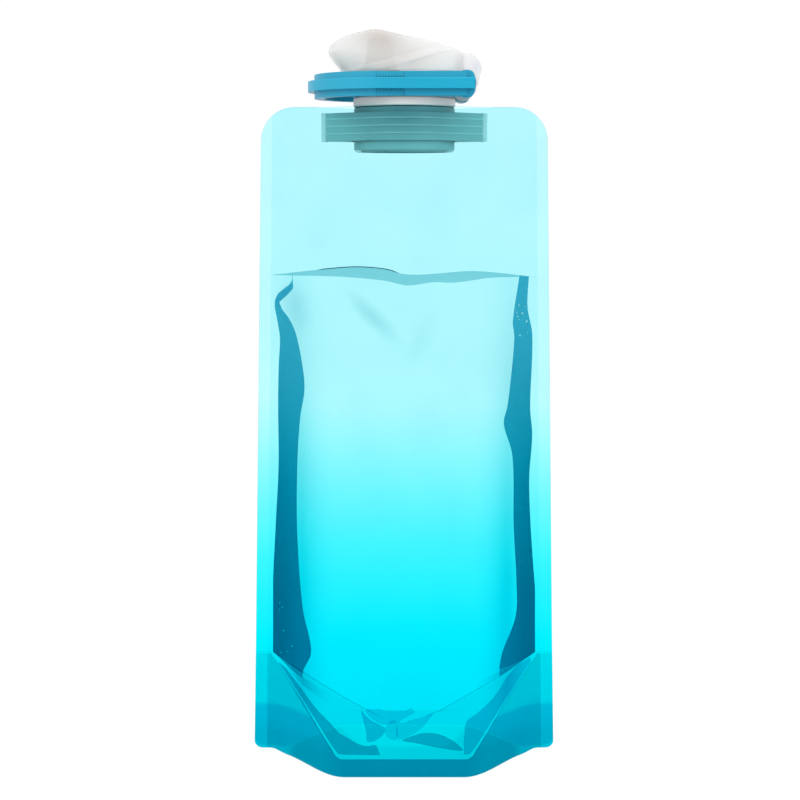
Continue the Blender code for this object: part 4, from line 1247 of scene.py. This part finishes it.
def lid_moulding():
    """The hollow lid with its swept band, its strap and its knuckle."""
    outside = dome_rings(0.0, LID_BOTTOM, True)
    inside = dome_rings(LID_WALL, LID_BOTTOM, False)
    shell = skin_loops("lid_shell", list(reversed(inside)) + outside, milky_polypropylene)
    strap = plate_along_y("lid_strap", tail_outline(), KNUCKLE_HALF_LENGTH, milky_polypropylene)
    ends = KNUCKLE_HALF_LENGTH
    edge = KNUCKLE_RADIUS - LIP_ROUND
    profile = [(KNUCKLE_BORE, -ends), (edge, -ends), (KNUCKLE_RADIUS, LIP_ROUND - ends),
               (KNUCKLE_RADIUS, ends - LIP_ROUND), (edge, ends), (KNUCKLE_BORE, ends)]
    knuckle = turned("lid_knuckle", profile, milky_polypropylene, steps=64, along_y=True,
                     centre=(HINGE_X, HINGE_Z))
    lid = merge("lid_moulding", [shell, strap, knuckle])
    lid.data.shade_smooth()
    soft_edges(lid, LIP_ROUND)
    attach(lid, "lid")
    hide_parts("flip_lid")


spout_moulding()
softened("screw_cap", "cap", white_polypropylene, width=0.2 * MM)
softened("carry_ring", "cap", blue_polypropylene, width=0.4 * MM, shape=slim_ears)
grip_ribs()
lid_moulding()

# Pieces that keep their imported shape
finishes = {
    "neck_gasket": cream_silicone, "mouthpiece": cream_silicone, "hinge_pin": drawn_steel,
    "lid_plug": cream_silicone,
}
for node, finish in finishes.items():
    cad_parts[node].data.materials.clear()
    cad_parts[node].data.materials.append(finish)


# Floor, light and camera

def seen_directly(tree):
    """1 for what is seen, straight, mirrored or through something clear, and 0 for light on the bottle."""
    path = add_node(tree, "ShaderNodeLightPath").outputs
    seen = path["Is Camera Ray"]
    for ray in ("Is Glossy Ray", "Is Transmission Ray"):
        seen = add_node(tree, "ShaderNodeMath", {"operation": "MAXIMUM"}, {0: seen, 1: path[ray]})
    return seen


def studio_floor():
    """A white floor that glows just short of white, so that the bottle's soft shadow still shows.

    Inside the foot hardly any light gets in, and what does comes through blue film, most of it at the back:
    that shadow is painted into the floor's glow as a cyan shade.
    """
    half_size = 3.0
    drop = 0.2 * MM
    glow_strength = 0.905
    outline_shift = 0.22 * MM
    outline_start = 0.16 * MM
    outline_end = 0.28 * MM
    lit_from = (16 * MM, 28 * MM)
    lit_reach = (2 * MM, 25 * MM)
    lit_fade = (3 * MM, -1 * MM)
    lit_share = 0.6
    foot_depth = FILM + 2 * WELD_GAP
    material, tree = new_material("white studio floor")
    axes = object_place(tree)[1]
    across = add_node(tree, "ShaderNodeMath", {"operation": "ABSOLUTE"}, {0: axes["X"]})
    back = add_node(tree, "ShaderNodeMath", {"operation": "SUBTRACT", 1: outline_shift}, {0: axes["Y"]})
    along = add_node(tree, "ShaderNodeMath", {"operation": "ABSOLUTE"}, {0: back})
    rim = add_node(tree, "ShaderNodeMapRange", {
        "interpolation_type": "SMOOTHSTEP", "From Min": FOOT_TOE, "From Max": FOOT_FLAT_HALF,
        "To Min": foot_depth, "To Max": BASE_HALF_DEPTH + foot_depth,
    }, {"Value": across})
    inward = add_node(tree, "ShaderNodeMath", {"operation": "SUBTRACT"}, {0: rim, 1: along})
    inside = add_node(tree, "ShaderNodeMapRange", {"From Min": outline_start, "From Max": outline_end},
                      {"Value": inward})
    reach = add_node(tree, "ShaderNodeMapRange", {
        "From Min": lit_from[0], "From Max": lit_from[1], "To Min": lit_reach[0], "To Max": lit_reach[1],
    }, {"Value": across})
    behind = add_node(tree, "ShaderNodeMath", {"operation": "SUBTRACT"}, {0: axes["Y"], 1: reach})
    depth = add_node(tree, "ShaderNodeMapRange", {
        "interpolation_type": "SMOOTHSTEP", "From Min": lit_fade[0], "From Max": lit_fade[1],
        "To Min": lit_share,
    }, {"Value": behind})
    ends = add_node(tree, "ShaderNodeMapRange", {
        "From Min": FOOT_TOE - SIDE_SEAL, "From Max": FOOT_TOE - 1.5 * SIDE_SEAL,
    }, {"Value": across})
    shade = inside
    for part in (depth, ends):
        shade = add_node(tree, "ShaderNodeMath", {"operation": "MULTIPLY"}, {0: shade, 1: part})
    # Painted shadow under the foot, cyan for the light that comes through the film
    painted_foot_shadow = add_node(tree, "ShaderNodeMix", {
        "data_type": "RGBA", "A": hex_colour("#ffffff"), "B": hex_colour("#0bdde6"),
    }, {"Factor": shade})
    glow = add_node(tree, "ShaderNodeEmission", {"Strength": glow_strength}, {"Color": painted_foot_shadow})
    faint = add_node(tree, "ShaderNodeBsdfDiffuse", {"Color": hex_colour("#626262")})
    paper = add_node(tree, "ShaderNodeAddShader", links={0: glow, 1: faint})
    matt = add_node(tree, "ShaderNodeBsdfDiffuse", {"Color": hex_colour("#dcdcdc")})
    mixed = add_node(tree, "ShaderNodeMixShader", links={0: seen_directly(tree), 1: matt, 2: paper})
    add_node(tree, "ShaderNodeOutputMaterial", links={"Surface": mixed})
    turns = ((-1, -1), (1, -1), (1, 1), (-1, 1))
    corners = [(half_size * x, half_size * y, 0) for x, y in turns]
    floor = mesh_object("studio_floor", corners, [(0, 1, 2, 3)], material)
    floor.location.z = -drop


def studio_world():
    """White to the eye, in reflections and through clear film, and softer as a light.

    Seen directly it is as bright as the far floor, so that no horizon shows through the film.
    """
    as_light = 0.86
    as_seen = 1.02
    world = bpy.data.worlds.new("white studio")
    scene.world = world
    world.use_nodes = True
    tree = world.node_tree
    tree.nodes.clear()
    strength = add_node(tree, "ShaderNodeMapRange", {"To Min": as_light, "To Max": as_seen},
                        {"Value": seen_directly(tree)})
    sky = add_node(tree, "ShaderNodeBackground", {"Color": hex_colour("#ffffff")}, {"Strength": strength})
    add_node(tree, "ShaderNodeOutputWorld", links={"Surface": sky})


def soft_lamp(name, place, aim, size, power):
    """A square soft box turned to a point."""
    lamp = bpy.data.lights.new(name, "AREA")
    lamp.size = size
    lamp.energy = power
    item = add_object(name, lamp)
    item.location = place
    item.rotation_euler = (Vector(aim) - Vector(place)).to_track_quat("-Z", "Y").to_euler()


def photo_camera():
    """The photograph's view: from in front, a little below the shoulder, tilted down by ten degrees."""
    camera = bpy.data.cameras.new("photo_camera")
    camera.sensor_width = 36.0
    camera.lens = 56.84
    camera.clip_start = 0.01
    item = add_object("photo_camera", camera)
    item.location = (EYE_X, -EYE_DISTANCE, EYE_HEIGHT)
    item.rotation_euler = (math.radians(90 - EYE_TILT), 0, 0)
    scene.camera = item


studio_floor()
studio_world()
soft_lamp("key_box", (-0.7, -0.9, 1.0), aim=(0, 0, 0.2), size=0.8, power=6.2)
soft_lamp("fill_box", (0.8, -0.7, 0.6), aim=(0, 0, 0.2), size=0.8, power=4.4)
photo_camera()
